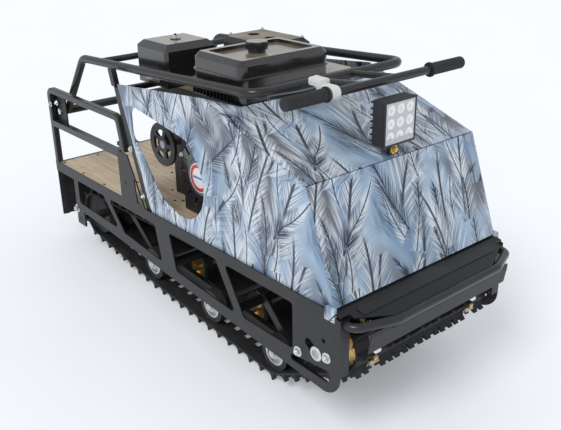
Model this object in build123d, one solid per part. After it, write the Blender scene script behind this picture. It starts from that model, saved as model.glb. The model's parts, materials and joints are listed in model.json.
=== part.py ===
from build123d import *
import math
import os

# The tug is drawn in millimetres in its chassis' own frame: x = 0 at the front edge of the side frames
# and negative towards the rear, y = 0 on the centre plane and positive to the left, z = 0 at the side
# frames' lowest edge. At the end it is raked nose-up on its track and stood on the floor.
# A name that ends in SHARE or SHARES holds shares of the size that it follows.

# Driving dimensions
HALF_WIDTH = 310.0        # outer faces of the side frames
FRAME_LENGTH = 1432.0
FRAME_TOP = 226.0
PLATE = 4.0               # sheet of the side frames
RAKE = 4.0                # degrees, nose up
RAKE_STATION = 700.0      # behind the front edge, where GROUND is measured
GROUND = 119.0            # floor to the side frames' lowest edge
TRACK_INSET = 60.0        # track's edges inside the side frames' outer faces
HOOD_INSET = 7.0          # hood's sides inside the side frames' outer faces
HOOD_BASE = 805.0         # foot of the hood's rear edge, behind the front edge
HINGE_IN = 56.0           # hinge of the steering loop, ahead of the frame's rear end
HINGE_DROP = 69.0         # and below the cargo rails' top
ENGINE_AHEAD = 180.0      # crankshaft ahead of the hood's rear foot
ENGINE_UP = 148.0         # and over the deck
BELT_CENTRES = 251.0      # cross shaft behind the crankshaft
SHAFT_UP = 176.0          # and over the deck
FILTER_REAR = 323.0       # rear end of the air filter behind the crankshaft
SPROCKET_X = -80.0        # drive axle
SPROCKET_DROP = 121.0     # and below the deck's underside

# Clearances
FIT = 0.05                # on the radius of a pin that turns in its bore
CLEAR = 0.2               # between pieces that are fixed side by side
OVERRUN = 5.0             # how far a cut runs past what it cuts

SIDES = ((-1, "right"), (1, "left"))
parts = {}


def add(name, *solids):
    for solid in solids:
        parts.setdefault(name, []).extend(solid.solids())


def across(side, near, far):
    """Two distances from the centre plane as y values on one side, the lower first."""
    return sorted((side * near, side * far))


def box(x0, x1, y0, y1, z0, z1):
    return Pos((x0 + x1) / 2, (y0 + y1) / 2, (z0 + z1) / 2) * Box(abs(x1 - x0), abs(y1 - y0), abs(z1 - z0))


def outline(points, corner=0.0):
    face = make_face(Polyline(points, close=True))
    return fillet(face.vertices(), corner) if corner else face


def hull(circles):
    """The convex outline round some circles, given as x, z, radius."""
    return make_hull([edge for x, z, r in circles for edge in (Pos(x, z) * Circle(r)).edges()])


def plate(face, y0, y1):
    """A sheet standing along the tug: an outline drawn in x and z, between two y values."""
    return Pos(0, max(y0, y1), 0) * extrude(Plane.XZ * face, amount=abs(y1 - y0))


def shaft(x, z, r, y0, y1):
    return Pos(x, (y0 + y1) / 2, z) * Rot(90, 0, 0) * Cylinder(r, abs(y1 - y0))


def turned(x, z, y, profile):
    """A piece turned about an axis across the tug at x, z: (radius, distance outwards along +y) points."""
    face = make_face(Polyline(profile, close=True))
    return Pos(x, y, z) * Rot(-90, 0, 0) * revolve(Plane.XZ * face, axis=Axis.Z)


def bent(points, bend):
    """A chain of straight runs whose corners are arcs of one radius."""
    stops = [Vector(*p) for p in points]
    edges = []
    last = stops[0]
    for before, corner, after in zip(stops, stops[1:], stops[2:]):
        a = (before - corner).normalized()
        b = (after - corner).normalized()
        half = math.acos(a.dot(b)) / 2
        reach = bend / math.tan(half)
        middle = corner + (a + b).normalized() * (bend / math.sin(half) - bend)
        edges.append(Line(last, corner + a * reach))
        edges.append(ThreePointArc(corner + a * reach, middle, corner + b * reach))
        last = corner + b * reach
    return Wire(edges + [Line(last, stops[-1])])


def tube(points, r, bend=0.0):
    path = bent(points, bend)
    return sweep(Plane(origin=path @ 0, z_dir=path % 0) * Circle(r), path=path)


def low(x):
    """Lower edge of the side frames, which climbs towards the rear."""
    return -RISE_SHARE * x


def over_floor(x, height):
    """Chassis z of a point at a height over the floor."""
    lean = math.radians(RAKE)
    return (height - GROUND - (x + RAKE_STATION) * math.sin(lean)) / math.cos(lean)


# Side frames: truss plates with a ledge for the deck, a folded nose and a gusset up to the cargo rail
RISE_SHARE = 0.066
TOP_RAIL = 33.0
LOW_RAIL = 33.0
NOSE_RUN = 60.0
NOSE_DROP = 14.0
HEEL = 55.0               # radius of the lower front corner
TAIL_RUN = 132.0          # free end of the top rail behind the truss
TAIL_DEPTH = 36.0
TRUSS_CORNER = 10.0
LEDGE = 34.0
BOARD = 9.0
BOARD_DROP = 6.0          # deck below the top edge of the side frames
FOLD = 26.0
FOLD_FOOT = 60.0
FLANGE = 22.0
FLANGE_GAP = 60.0         # from the truss' rear end
AXLE_HOLE = 13.0
SLOT_RUN = 26.0           # how far the axle slides up its slanted slot
SLOT_RISE = 18.0
VENT_R = 6.0
VENT_AHEAD = 25.0         # vent hole from the axle
VENT_ABOVE = 48.0
SLOT_REAR = 163.0         # long slot above the heel: centres and radii of its ends
SLOT_REAR_Z = 39.0
SLOT_REAR_R = 9.0
SLOT_FRONT = 47.0
SLOT_FRONT_Z = 45.0
SLOT_FRONT_R = 16.0
GUSSET_BACK = 164.0       # behind the hood's rear foot
GUSSET_FOOT = 137.0
GUSSET_HEIGHT = 151.0
GUSSET_HOLE_R = 5.0
# truss windows, each as shares of FRAME_LENGTH behind the front edge (top rear, top front, foot front,
# foot rear), then as shares of LOW_RAIL the height of its sill (rear, front)
TRUSS_SHARES = (
    (0.890, 0.764, 0.7025, 0.890, 0.79, 1.09),
    (0.7416, 0.5468, 0.5272, 0.6809, 1.03, 0.91),
    (0.4944, 0.3338, 0.2765, 0.4749, 0.97, 1.03),
    (0.3073, 0.1145, 0.1145, 0.2514, 1.16, 1.61),
)
# gusset from its rear foot: shares of GUSSET_FOOT along and of its height up, then its slot with radii
GUSSET_SHARES = ((1.0, 0.0), (0.504, 0.834), (0.416, 1.0), (0.0, 1.0), (0.0, 0.0))
GUSSET_HOLE_SHARES = (0.27, 0.377)
GUSSET_SLOT_SHARES = ((0.65, 0.51, 0.03), (0.832, 0.085, 0.044), (0.73, 0.078, 0.044))

inner_face = HALF_WIDTH - PLATE
board_top = FRAME_TOP - BOARD_DROP
board_low = board_top - BOARD
ledge_low = board_low - PLATE
gusset_rear = -HOOD_BASE - GUSSET_BACK
gusset_top = FRAME_TOP + GUSSET_HEIGHT
sprocket_z = board_low - SPROCKET_DROP
crank_x, crank_z = -HOOD_BASE + ENGINE_AHEAD, board_top + ENGINE_UP
shaft_x, shaft_z = crank_x - BELT_CENTRES, board_top + SHAFT_UP


def truss_window(top_rear, top_front, foot_front, foot_rear, sill_rear, sill_front):
    rear, front = -foot_rear * FRAME_LENGTH, -foot_front * FRAME_LENGTH
    top = FRAME_TOP - TOP_RAIL
    corners = [(-top_rear * FRAME_LENGTH, top), (-top_front * FRAME_LENGTH, top),
               (front, low(front) + sill_front * LOW_RAIL), (rear, low(rear) + sill_rear * LOW_RAIL)]
    return outline(corners, TRUSS_CORNER)


def truss_sheet():
    tail = -FRAME_LENGTH + TAIL_RUN
    tail_low = FRAME_TOP - TAIL_DEPTH
    path = Polyline((-HEEL, 0), (tail, low(tail)), (tail, tail_low), (-FRAME_LENGTH, tail_low),
                    (-FRAME_LENGTH, FRAME_TOP), (-NOSE_RUN, FRAME_TOP), (0, FRAME_TOP - NOSE_DROP), (0, HEEL))
    face = make_face(path.edges() + CenterArc((-HEEL, HEEL), HEEL, -90, 90).edges())
    for row in TRUSS_SHARES:
        face -= truss_window(*row)
    face -= hull(((-SLOT_REAR, SLOT_REAR_Z, SLOT_REAR_R), (-SLOT_FRONT, SLOT_FRONT_Z, SLOT_FRONT_R)))
    face -= hull(((SPROCKET_X, sprocket_z, AXLE_HOLE),
                  (SPROCKET_X - SLOT_RUN, sprocket_z + SLOT_RISE, AXLE_HOLE)))
    return face - Pos(SPROCKET_X + VENT_AHEAD, sprocket_z + VENT_ABOVE) * Circle(VENT_R)


def on_gusset(along, up):
    return (gusset_rear + GUSSET_FOOT * along, FRAME_TOP + GUSSET_HEIGHT * up)


def gusset():
    sheet = outline([on_gusset(*shares) for shares in GUSSET_SHARES])
    sheet -= Pos(*on_gusset(*GUSSET_HOLE_SHARES)) * Circle(GUSSET_HOLE_R)
    return sheet - hull([(*on_gusset(along, up), r * GUSSET_FOOT) for along, up, r in GUSSET_SLOT_SHARES])


def side_frame():
    """The left frame."""
    frame = plate(truss_sheet() + gusset(), inner_face, HALF_WIDTH)
    frame += box(-FRAME_LENGTH, -PLATE, inner_face - LEDGE, inner_face, ledge_low, board_low)
    frame += box(-PLATE, 0, inner_face - FOLD, inner_face, FOLD_FOOT, ledge_low - CLEAR)
    rear = -FRAME_LENGTH + TAIL_RUN + FLANGE_GAP
    foot = [(rear, low(rear)), (-HEEL, low(-HEEL)), (-HEEL, low(-HEEL) + PLATE), (rear, low(rear) + PLATE)]
    return frame + plate(outline(foot), inner_face - FLANGE, inner_face)


add("side_frame_left", side_frame())
add("side_frame_right", mirror(side_frame(), about=Plane.XZ))

# Deck: rear beam, plywood board, cross members under it and round tubes through the truss
BEAM = 12.0
MEMBER = 40.0
MEMBER_SHEET = 6.0
CROSS_R = 14.0
CROSS_RISE = 19.0         # tube centres over the lower edge of the frame
DECK_FRONT = 72.0         # front edge of the board, under the hood
# stations behind the front edge as shares of FRAME_LENGTH
MEMBER_SHARES = (0.7402, 0.5028, 0.2654)
CROSS_SHARES = (0.817, 0.5203, 0.3003)

beam = box(-FRAME_LENGTH, -FRAME_LENGTH + BEAM, -inner_face, inner_face, FRAME_TOP - TAIL_DEPTH, board_top)
for side, hand in SIDES:
    y0, y1 = across(side, inner_face - LEDGE - CLEAR, inner_face + OVERRUN)
    beam -= box(-FRAME_LENGTH - OVERRUN, -FRAME_LENGTH + BEAM + OVERRUN, y0, y1, ledge_low, board_low)
add("rear_beam", beam)
add("deck_board", box(-FRAME_LENGTH + BEAM, -DECK_FRONT, -inner_face, inner_face, board_low, board_top))
member_half = inner_face - LEDGE - CLEAR
first_member = -FRAME_LENGTH + BEAM + CLEAR + MEMBER / 2
for x in [first_member] + [-share * FRAME_LENGTH for share in MEMBER_SHARES]:
    add("deck_cross_members", box(x - MEMBER / 2, x + MEMBER / 2, -member_half, member_half,
                                  board_low - MEMBER_SHEET, board_low))
crossings = [(-share * FRAME_LENGTH, low(-share * FRAME_LENGTH) + CROSS_RISE) for share in CROSS_SHARES]
for x, z in crossings:
    add("frame_cross_tubes", shaft(x, z, CROSS_R, -inner_face, inner_face))

# Front: a folded step, the guard under it and the bumper tube
STEP_SHEET = 3.0
STEP_SEAT = 4.0           # how far the step lies under the deck's top edge
STEP_REAR = 62.0
STEP_BREAK = 22.0         # where the step starts to slope down
STEP_REACH = 53.0         # ahead of the side frames
STEP_DROP = 18.0
STEP_DEPTH = 54.0         # lower edge of the front lip, below the frame's top
STEP_WING = 28.0          # wings inside the sheets, where they start
STEP_NOSE = 122.0         # and at the front
STEP_SQUARE = 12.0        # how far the wings run straight ahead
GUARD_INSET = 44.0
GUARD_FOOT = 98.0         # heights of the guard, below the frame's top
GUARD_SET = 7.0           # how far its foot stands behind its face
GUARD_BEND = 55.0
GUARD_TOP = 42.0
GUARD_LIP = 26.0
BUMPER_R = 11.0
BUMPER_BEND = 30.0
BUMPER_ROOT = 14.0        # tube inside the sheets, at the frames
BUMPER_NOSE = 116.0       # and at the front
BUMPER_RUN = 24.0
BUMPER_AHEAD = 13.0       # of the step's lip
BUMPER_ROOT_DROP = 28.0   # below the frame's top
BUMPER_DROP = 23.0


step_top = FRAME_TOP - STEP_SEAT + STEP_SHEET
step_lip = FRAME_TOP - STEP_DEPTH
bumper_nose = inner_face - BUMPER_NOSE


def front_step():
    top = FRAME_TOP - STEP_SEAT
    crown = step_top
    fold = STEP_REACH - STEP_SHEET
    run = [(-STEP_REAR, top), (-STEP_BREAK, top), (fold, top - STEP_DROP), (fold, step_lip),
           (STEP_REACH, step_lip), (STEP_REACH, crown - STEP_DROP), (-STEP_BREAK, crown), (-STEP_REAR, crown)]
    wing = inner_face - STEP_WING
    half = [(-STEP_REAR, inner_face), (-PLATE, inner_face), (-PLATE, wing),
            (STEP_SQUARE, wing), (STEP_REACH, inner_face - STEP_NOSE)]
    plan = half + [(x, -y) for x, y in reversed(half)]
    blank = extrude(outline(plan), amount=crown + OVERRUN)
    return plate(outline(run), -inner_face, inner_face) & blank


def front_guard():
    face = STEP_REACH - STEP_SHEET
    back = face - STEP_SHEET
    foot, bend, top, lip = (FRAME_TOP - drop for drop in (GUARD_FOOT, GUARD_BEND, GUARD_TOP, GUARD_LIP))
    run = [(back - GUARD_SET, foot), (face - GUARD_SET, foot), (face, bend), (face, top), (back, top),
           (back, bend)]
    half = inner_face - GUARD_INSET
    tongue = bumper_nose - BUMPER_R - STEP_SHEET
    return plate(outline(run), -half, half) + box(back, face, -tongue, tongue, bend, lip)


add("front_step", front_step())
add("front_guard", front_guard())
bumper_root, bumper_root_z = inner_face - BUMPER_ROOT, FRAME_TOP - BUMPER_ROOT_DROP
bumper = [(0, bumper_root, bumper_root_z), (BUMPER_RUN, bumper_root, bumper_root_z),
          (STEP_REACH + BUMPER_AHEAD, bumper_nose, FRAME_TOP - BUMPER_DROP)]
add("bumper_tube", tube(bumper + [(x, -y, z) for x, y, z in reversed(bumper)], BUMPER_R, BUMPER_BEND))

# Cargo rails of square tube, with the plates and pins that carry the steering loop
RAIL = 20.0
RAIL_BEVEL_SHARE = 0.12
RAIL_HEIGHT = 256.0       # over the frame's top
RAIL_FRONT = 12.0         # upper front bend ahead of the gusset's rear edge
RAIL_FOOT = 34.5          # and the front leg's foot
RAIL_BEND = 22.0
BRACKET = 5.0
BRACKET_REAR = 4.0
BRACKET_LENGTH = 88.0
BRACKET_DROP = 8.0
BRACKET_HEIGHT = 114.0
BRACKET_CORNER = 8.0
PIN_R = 6.0
PIN_HEAD_R = 10.0
PIN_HEAD = 8.0
PIVOT_R = 14.0
PIVOT_GAP = 5.0           # pivot tube to bracket
PIN_DEPTH = 22.0          # pin in the pivot tube

rail_face = HALF_WIDTH - RAIL
rail_y = HALF_WIDTH - RAIL / 2
rail_top = FRAME_TOP + RAIL_HEIGHT
hinge_x = -FRAME_LENGTH + HINGE_IN
hinge_z = rail_top - HINGE_DROP
pivot_half = rail_face - BRACKET - PIVOT_GAP


def cargo_rail(side):
    lean = math.atan((RAIL_FOOT - RAIL_FRONT) / (rail_top - gusset_top))
    foot = (gusset_rear + RAIL_FOOT, 0, gusset_top + CLEAR + RAIL / 2 * math.sin(lean))
    rear = -FRAME_LENGTH + RAIL / 2
    front = gusset_rear + RAIL_FRONT
    path = bent([(rear, 0, FRAME_TOP), (rear, 0, rail_top), (front, 0, rail_top), foot], RAIL_BEND)
    section = chamfer(Rectangle(RAIL, RAIL).vertices(), RAIL * RAIL_BEVEL_SHARE)
    rail = sweep(Plane(origin=path @ 0, x_dir=(0, 1, 0), z_dir=path % 0) * section, path=path)
    bar = box(rear, gusset_rear - CLEAR, -RAIL / 2, RAIL / 2, gusset_top - RAIL, gusset_top)
    return Pos(0, side * rail_y, 0) * (rail + bar)


for side, hand in SIDES:
    add("cargo_rail_" + hand, cargo_rail(side))
    y0, y1 = across(side, rail_face, rail_face - BRACKET)
    rear, top = -FRAME_LENGTH + BRACKET_REAR, rail_top - BRACKET_DROP
    corners = [(rear, top), (rear + BRACKET_LENGTH, top), (rear + BRACKET_LENGTH, top - BRACKET_HEIGHT),
               (rear, top - BRACKET_HEIGHT)]
    lug = outline(corners, BRACKET_CORNER) - Pos(hinge_x, hinge_z) * Circle(PIN_R)
    add("hinge_brackets", plate(lug, y0, y1))
    inner = pivot_half - PIN_DEPTH
    add("hinge_pins", shaft(hinge_x, hinge_z, PIN_R, side * inner, side * rail_face)
        + shaft(hinge_x, hinge_z, PIN_HEAD_R, side * rail_face, side * (rail_face + PIN_HEAD)))

# Steering loop: a bent tube hinged at the rear, lying over the hood, with the handlebar ahead of it
LOOP_INSET = 25.0         # tube's centre inside the cargo rails
LOOP_R = 12.5
LOOP_BEND = 45.0
LOOP_HEEL_RUN = 158.0     # rear bend from the hinge
LOOP_HEEL_UP = 201.0
LOOP_NOSE = 460.0         # ahead of the hood's rear foot
LOOP_NOSE_UP = 247.0      # over the hinge
TIE_SHARE = 0.4           # tie tube, of the run from the rear bend to the air filter
LOOP_TIE_R = 10.0
NECK_HALF = 60.0
NECK_R = 9.0
NECK_RUN = 157.0          # handlebar ahead of the loop and over it
NECK_RISE = 16.0
BAR_R = 11.0
BAR_HALF = 306.0
GRIP_R = 16.0
GRIP_LENGTH = 130.0
GRIP_CAP = 4.0            # grip past the bar's end
GRIP_COLLAR_R = 19.0
GRIP_COLLAR = 5.0
PERCH_R = 17.0
PERCH_GAP = 4.0           # from the grip
PERCH_LENGTH = 26.0
PERCH_REACH = 44.0
PERCH_RISE = 14.0
PERCH_DROP = 4.0
LEVER = 8.0
LEVER_REACH = 130.0
LEVER_ROOT = 12.0

loop_half = rail_face - LOOP_INSET
loop_heel = (hinge_x + LOOP_HEEL_RUN, hinge_z + LOOP_HEEL_UP)
loop_nose = (-HOOD_BASE + LOOP_NOSE, hinge_z + LOOP_NOSE_UP)
bar_x, bar_z = loop_nose[0] + NECK_RUN, loop_nose[1] + NECK_RISE
grip_outer = BAR_HALF + GRIP_CAP
grip_inner = grip_outer - GRIP_LENGTH
perch_outer = grip_inner - PERCH_GAP
perch_inner = perch_outer - PERCH_LENGTH


def steering_loop():
    side = [(x, loop_half, z) for x, z in ((hinge_x, hinge_z), loop_heel, loop_nose)]
    loop = tube(side + [(x, -y, z) for x, y, z in reversed(side)], LOOP_R, LOOP_BEND)
    loop += shaft(hinge_x, hinge_z, PIVOT_R, -pivot_half, pivot_half)
    slope = (loop_nose[1] - loop_heel[1]) / (loop_nose[0] - loop_heel[0])
    tie_x = loop_heel[0] + TIE_SHARE * (crank_x - FILTER_REAR - loop_heel[0])
    loop += shaft(tie_x, loop_heel[1] + slope * (tie_x - loop_heel[0]), LOOP_TIE_R, -loop_half, loop_half)
    for side_sign, hand in SIDES:
        bore = across(side_sign, pivot_half - PIN_DEPTH - CLEAR, pivot_half + OVERRUN)
        loop -= shaft(hinge_x, hinge_z, PIN_R + FIT, *bore)
        loop += neck(side_sign)
    return loop - shaft(bar_x, bar_z, BAR_R, -BAR_HALF, BAR_HALF)


def neck(side):
    y = side * NECK_HALF
    return tube([(loop_nose[0], y, loop_nose[1]), (bar_x, y, bar_z)], NECK_R)


def grip(side):
    """Rubber grip with a collar at its inner end, slid over the bar."""
    y0, y1 = across(side, grip_inner, grip_outer)
    body = shaft(bar_x, bar_z, GRIP_R, y0, y1)
    body += shaft(bar_x, bar_z, GRIP_COLLAR_R, *across(side, grip_inner, grip_inner + GRIP_COLLAR))
    return body - shaft(bar_x, bar_z, BAR_R, -BAR_HALF, BAR_HALF)


add("steering_loop", steering_loop())
add("handlebar", shaft(bar_x, bar_z, BAR_R, -BAR_HALF, BAR_HALF))
for side, hand in SIDES:
    add("handlebar_grips", grip(side))
perch = shaft(bar_x, bar_z, PERCH_R, -perch_outer, -perch_inner)
perch += box(bar_x - PERCH_REACH, bar_x, -perch_outer, -perch_inner, bar_z - PERCH_DROP, bar_z + PERCH_RISE)
add("brake_lever_perch", perch - shaft(bar_x, bar_z, BAR_R, -BAR_HALF, BAR_HALF))
lever_x = bar_x - PERCH_REACH - LEVER_ROOT / 2
# blade from its root at the perch: shares of LEVER_ROOT forwards, shares of LEVER_REACH outwards
LEVER_SHARES = ((-0.15, 0.0), (0.85, 0.0), (1.35, 0.34), (0.0, 1.0), (-0.9, 1.0), (0.2, 0.34))
blade = outline([(lever_x + LEVER_ROOT * ahead, -perch_outer - LEVER_REACH * out)
                 for ahead, out in LEVER_SHARES])
add("brake_lever", Pos(0, 0, bar_z) * extrude(blade, amount=LEVER))

# Hood: flat side panels with a hand window, a front panel and a folded upper front
SKIN = 3.0
HOOD_FOOT_X = -28.0
HOOD_LIFT = 6.0           # front panel over the step
CREASE_X = -126.0
CREASE_UP = 279.0         # heights of the hood's corners over the deck
CORNER_RUN = 297.0        # folded corner at the side panel's top edge, ahead of the hood's rear foot
CORNER_UP = 407.0
BROW_RUN = 383.0          # rear edge of the upper front, ahead of the same
BROW_UP = 392.0
BROW_INSET = 55.0         # its ends inside the side panels
HOOD_LEAN = 136.0         # how far the rear edge leans back
HOOD_REAR_UP = 366.0
POST = 24.0
POST_SHEET = 6.0
POST_DROP = 11.0          # below the hood's rear corner
HOOP = 16.0
FOLD_SHARE = 0.2          # how far the folded corners' inward direction leans
WINDOW_BACK = 69.0        # rear lower corner of the hand window, from the hood's rear foot
WINDOW_UP = 42.0
WINDOW_LENGTH = 349.0
WINDOW_HEIGHT = 272.0
# circles that the hand window wraps: shares of its length, of its height, and of its length for the radius
WINDOW_SHARES = (
    (0.075, 0.904, 0.0745),
    (0.109, 0.743, 0.109),
    (0.507, 0.324, 0.206),
    (0.682, 0.408, 0.318),
    (0.722, 0.647, 0.178),
)

hood_half = HALF_WIDTH - HOOD_INSET
brow_half = hood_half - BROW_INSET
hood_base_x = -HOOD_BASE
hood_rear_x = -HOOD_BASE - HOOD_LEAN
corner_x = hood_base_x + CORNER_RUN
brow_x = hood_base_x + BROW_RUN
hood_foot_z = step_top + HOOD_LIFT
crease_z = board_top + CREASE_UP
corner_z = board_top + CORNER_UP
brow_z = board_top + BROW_UP
hood_rear_z = board_top + HOOD_REAR_UP
seat_x = -DECK_FRONT + CLEAR
facet_half = hood_half - SKIN - CLEAR


def hood_side():
    path = [(hood_base_x, board_top), (seat_x, board_top), (seat_x, step_top), (HOOD_FOOT_X, step_top),
            (HOOD_FOOT_X, hood_foot_z), (CREASE_X, crease_z), (corner_x, corner_z),
            (hood_rear_x, hood_rear_z)]
    window_x, window_z = hood_base_x - WINDOW_BACK, board_top + WINDOW_UP
    window = hull([(window_x + x * WINDOW_LENGTH, window_z + z * WINDOW_HEIGHT, r * WINDOW_LENGTH)
                   for x, z, r in WINDOW_SHARES])
    return outline(path) - window


def facet(points, inward):
    """A flat sheet of the hood on a polygon in space, its thickness grown along a direction."""
    face = make_face(Polyline([Vector(*p) for p in points], close=True))
    return extrude(face, amount=SKIN, dir=Vector(*inward).normalized())


def across_facet(lower, upper, half_low, half_top):
    """A facet between two cross edges, each given as x, z."""
    corners = [(lower[0], -half_low, lower[1]), (lower[0], half_low, lower[1]),
               (upper[0], half_top, upper[1]), (upper[0], -half_top, upper[1])]
    return facet(corners, (lower[1] - upper[1], 0, upper[0] - lower[0]))


def folded_corner(side, edge):
    """The triangle that joins the upper front to the side panel."""
    corners = [(edge[0], side * facet_half, edge[1]), (corner_x, side * facet_half, corner_z),
               (brow_x, side * brow_half, brow_z)]
    return facet(corners, (-FOLD_SHARE, -side * FOLD_SHARE, -1))


def upper_front():
    edge = (CREASE_X - SKIN, crease_z + SKIN / 2)
    brow = across_facet(edge, (brow_x, brow_z), facet_half, brow_half)
    return brow + folded_corner(-1, edge) + folded_corner(1, edge)


for side, hand in SIDES:
    add("hood_side_" + hand, plate(hood_side(), side * hood_half, side * (hood_half - SKIN)))
add("hood_front", across_facet((HOOD_FOOT_X, hood_foot_z), (CREASE_X, crease_z), facet_half, facet_half))
add("hood_top_front", upper_front())

post_lean = (hood_base_x - hood_rear_x) / (hood_rear_z - board_top)
post_top = hood_rear_z - POST_DROP
post_low_x, post_top_x = hood_base_x - CLEAR, hood_base_x - CLEAR - post_lean * (post_top - board_top)
for side, hand in SIDES:
    corners = [(post_low_x - POST, board_top), (post_low_x, board_top), (post_top_x, post_top),
               (post_top_x - POST, post_top)]
    add("hood_posts", plate(outline(corners), side * hood_half, side * (hood_half - POST_SHEET)))
hoop_half = hood_half - POST_SHEET - CLEAR
hoop_x = post_top_x + post_lean * HOOP / 2
add("hood_rear_hoop", box(hoop_x - HOOP, hoop_x, -hoop_half, hoop_half, post_top - HOOP, post_top))

# Engine: one closed block with its head, and what shows through the hood: shroud, tank, filter, guard
ENGINE_HALF = 145.0       # crankcase before and behind the crankshaft
ENGINE_SIDE = 162.5       # crankcase to either side of the engine's middle plane
ENGINE_SHARE = -0.14026   # where that plane stands, of the hood's half width
CASE_HEIGHT = 250.0       # heights over the deck
HEAD_FRONT = 185.0        # head ahead of the crankshaft
HEAD_REAR = 30.0
HEAD_RIGHT = 147.5
HEAD_LEFT = 152.5
PORT_REAR = 215.0
PORT_HEIGHT = 365.0
HEAD_HEIGHT = 391.0
SHROUD_HEIGHT = 37.0
SHROUD_FRONT = 197.0      # ahead of the crankshaft
SHROUD_REAR = 25.0
SHROUD_GAP = 12.5         # inside the steering loop's tube
SHROUD_LEFT = 192.5
FIN = 5.0
FIN_PITCH = 15.0
FIN_DEPTH = 4.0
HEAD_FIN = 4.0
HEAD_FIN_PITCH = 14.0
HEAD_FIN_DEPTH = 14.0

case_rear, case_front = crank_x - ENGINE_HALF, crank_x + ENGINE_HALF
head_rear, head_front = crank_x - HEAD_REAR, crank_x + HEAD_FRONT
case_top, port_top, head_top = board_top + CASE_HEIGHT, board_top + PORT_HEIGHT, board_top + HEAD_HEIGHT
# the engine and its drive are drawn about the engine's middle plane
engine_y = ENGINE_SHARE * hood_half
engine = Pos(0, engine_y, 0)
room_right, room_left = loop_half - LOOP_R + engine_y, loop_half - LOOP_R - engine_y


def engine_block():
    block = box(case_rear, case_front, -ENGINE_SIDE, ENGINE_SIDE, board_top, case_top)
    block += box(crank_x - PORT_REAR, head_rear, -HEAD_RIGHT, HEAD_LEFT, case_top, port_top)
    block += box(head_rear, head_front, -HEAD_RIGHT, HEAD_LEFT, case_top, head_top)
    z = case_top + HEAD_FIN_PITCH
    while z + HEAD_FIN < head_top:
        block += box(head_rear, head_front + HEAD_FIN_DEPTH, -HEAD_RIGHT, HEAD_LEFT + HEAD_FIN_DEPTH,
                     z, z + HEAD_FIN)
        z += HEAD_FIN_PITCH
    return block


def ribbed_shroud():
    top = head_top + SHROUD_HEIGHT
    rear, front, right = crank_x - SHROUD_REAR, crank_x + SHROUD_FRONT, -room_right + SHROUD_GAP
    shroud = box(rear, front, right, SHROUD_LEFT, head_top, top)
    shroud = fillet(shroud.edges().filter_by(Axis.Z), FIN_PITCH)
    x = rear + FIN_PITCH
    while x + FIN < front - FIN_PITCH:
        shroud += box(x, x + FIN, right - FIN_DEPTH, right, head_top, top)
        x += FIN_PITCH
    return shroud


add("engine_block", engine * engine_block())
add("engine_shroud", engine * ribbed_shroud())

# Recoil starter on the engine's right: a domed cover with slots round its rim
RECOIL_R = 110.0
RECOIL_DEPTH = 35.0
RECOIL_ROUND = 9.0
RECOIL_HUB_R = 60.0
RECOIL_HUB = 8.0
RECOIL_SLOTS = 16
RECOIL_SLOT = 9.0
RECOIL_SLOT_DEPTH = 5.0
RECOIL_SLOT_SHARES = (0.68, 0.93)     # of RECOIL_R


def recoil_starter():
    face, crown = RECOIL_DEPTH, RECOIL_DEPTH + RECOIL_HUB
    profile = [(0, 0), (RECOIL_R, 0), (RECOIL_R, face - RECOIL_ROUND), (RECOIL_R - RECOIL_ROUND, face),
               (RECOIL_HUB_R, face), (RECOIL_HUB_R - RECOIL_HUB, crown), (0, crown)]
    cover = turned(crank_x, crank_z, 0, profile)
    inner, outer = (share * RECOIL_R for share in RECOIL_SLOT_SHARES)
    slot = Pos((inner + outer) / 2, 0, 0) * Box(outer - inner, RECOIL_SLOT_DEPTH * 2, RECOIL_SLOT)
    for k in range(RECOIL_SLOTS):
        cover -= Pos(crank_x, face, crank_z) * Rot(0, 360 / RECOIL_SLOTS * k, 0) * slot
    return Pos(0, -ENGINE_SIDE, 0) * mirror(cover, about=Plane.XZ)


add("recoil_starter", engine * recoil_starter())

# Fuel tank with a seam flange and a recessed top, and its fluted cap
TANK_REAR = 20.0          # behind and ahead of the crankshaft
TANK_FRONT = 193.0
TANK_GAP = 16.5           # inside the steering loop's tube
TANK_LEFT = 106.5
TANK_HEIGHT = 70.0
TANK_CORNER = 22.0
TANK_BEVEL = 14.0
TANK_RIM = 16.0
TANK_RECESS = 9.0
SEAM_Z = 22.0             # seam flange over the tank's foot
SEAM = 5.0
SEAM_OUT = 4.0
NECK_RADIUS = 24.0
CAP_R = 30.0
CAP_HEIGHT = 20.0
CAP_FLUTES = 6
CAP_FLUTE_R = 7.0
CAP_BEVEL = 2.5
CAP_AHEAD = 80.0          # of the crankshaft
CAP_IN = 141.0            # from the tank's right side

cap_x, cap_y = crank_x + CAP_AHEAD, -room_right + TANK_GAP + CAP_IN
tank_low = head_top + SHROUD_HEIGHT
tank_top = tank_low + TANK_HEIGHT


def rounded_block(x0, x1, y0, y1, z0, z1, corner):
    block = box(x0, x1, y0, y1, z0, z1)
    return fillet(block.edges().filter_by(Axis.Z), corner)


def fuel_tank():
    rear, front, right = crank_x - TANK_REAR, crank_x + TANK_FRONT, -room_right + TANK_GAP
    tank = rounded_block(rear, front, right, TANK_LEFT, tank_low, tank_top, TANK_CORNER)
    tank = chamfer(tank.faces().sort_by(Axis.Z)[-1].edges(), TANK_BEVEL)
    inset = TANK_RIM + TANK_BEVEL
    recess = rounded_block(rear + inset, front - inset, right + inset, TANK_LEFT - inset,
                           tank_top - TANK_RECESS, tank_top + OVERRUN, TANK_CORNER / 2)
    flange = rounded_block(rear - SEAM_OUT, front + SEAM_OUT, right - SEAM_OUT, TANK_LEFT + SEAM_OUT,
                           tank_low + SEAM_Z, tank_low + SEAM_Z + SEAM, TANK_CORNER + SEAM_OUT)
    neck_tube = Pos(cap_x, cap_y, tank_top - TANK_RECESS) * Cylinder(NECK_RADIUS, TANK_RECESS, align=UPRIGHT)
    return tank - recess + flange + neck_tube


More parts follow.
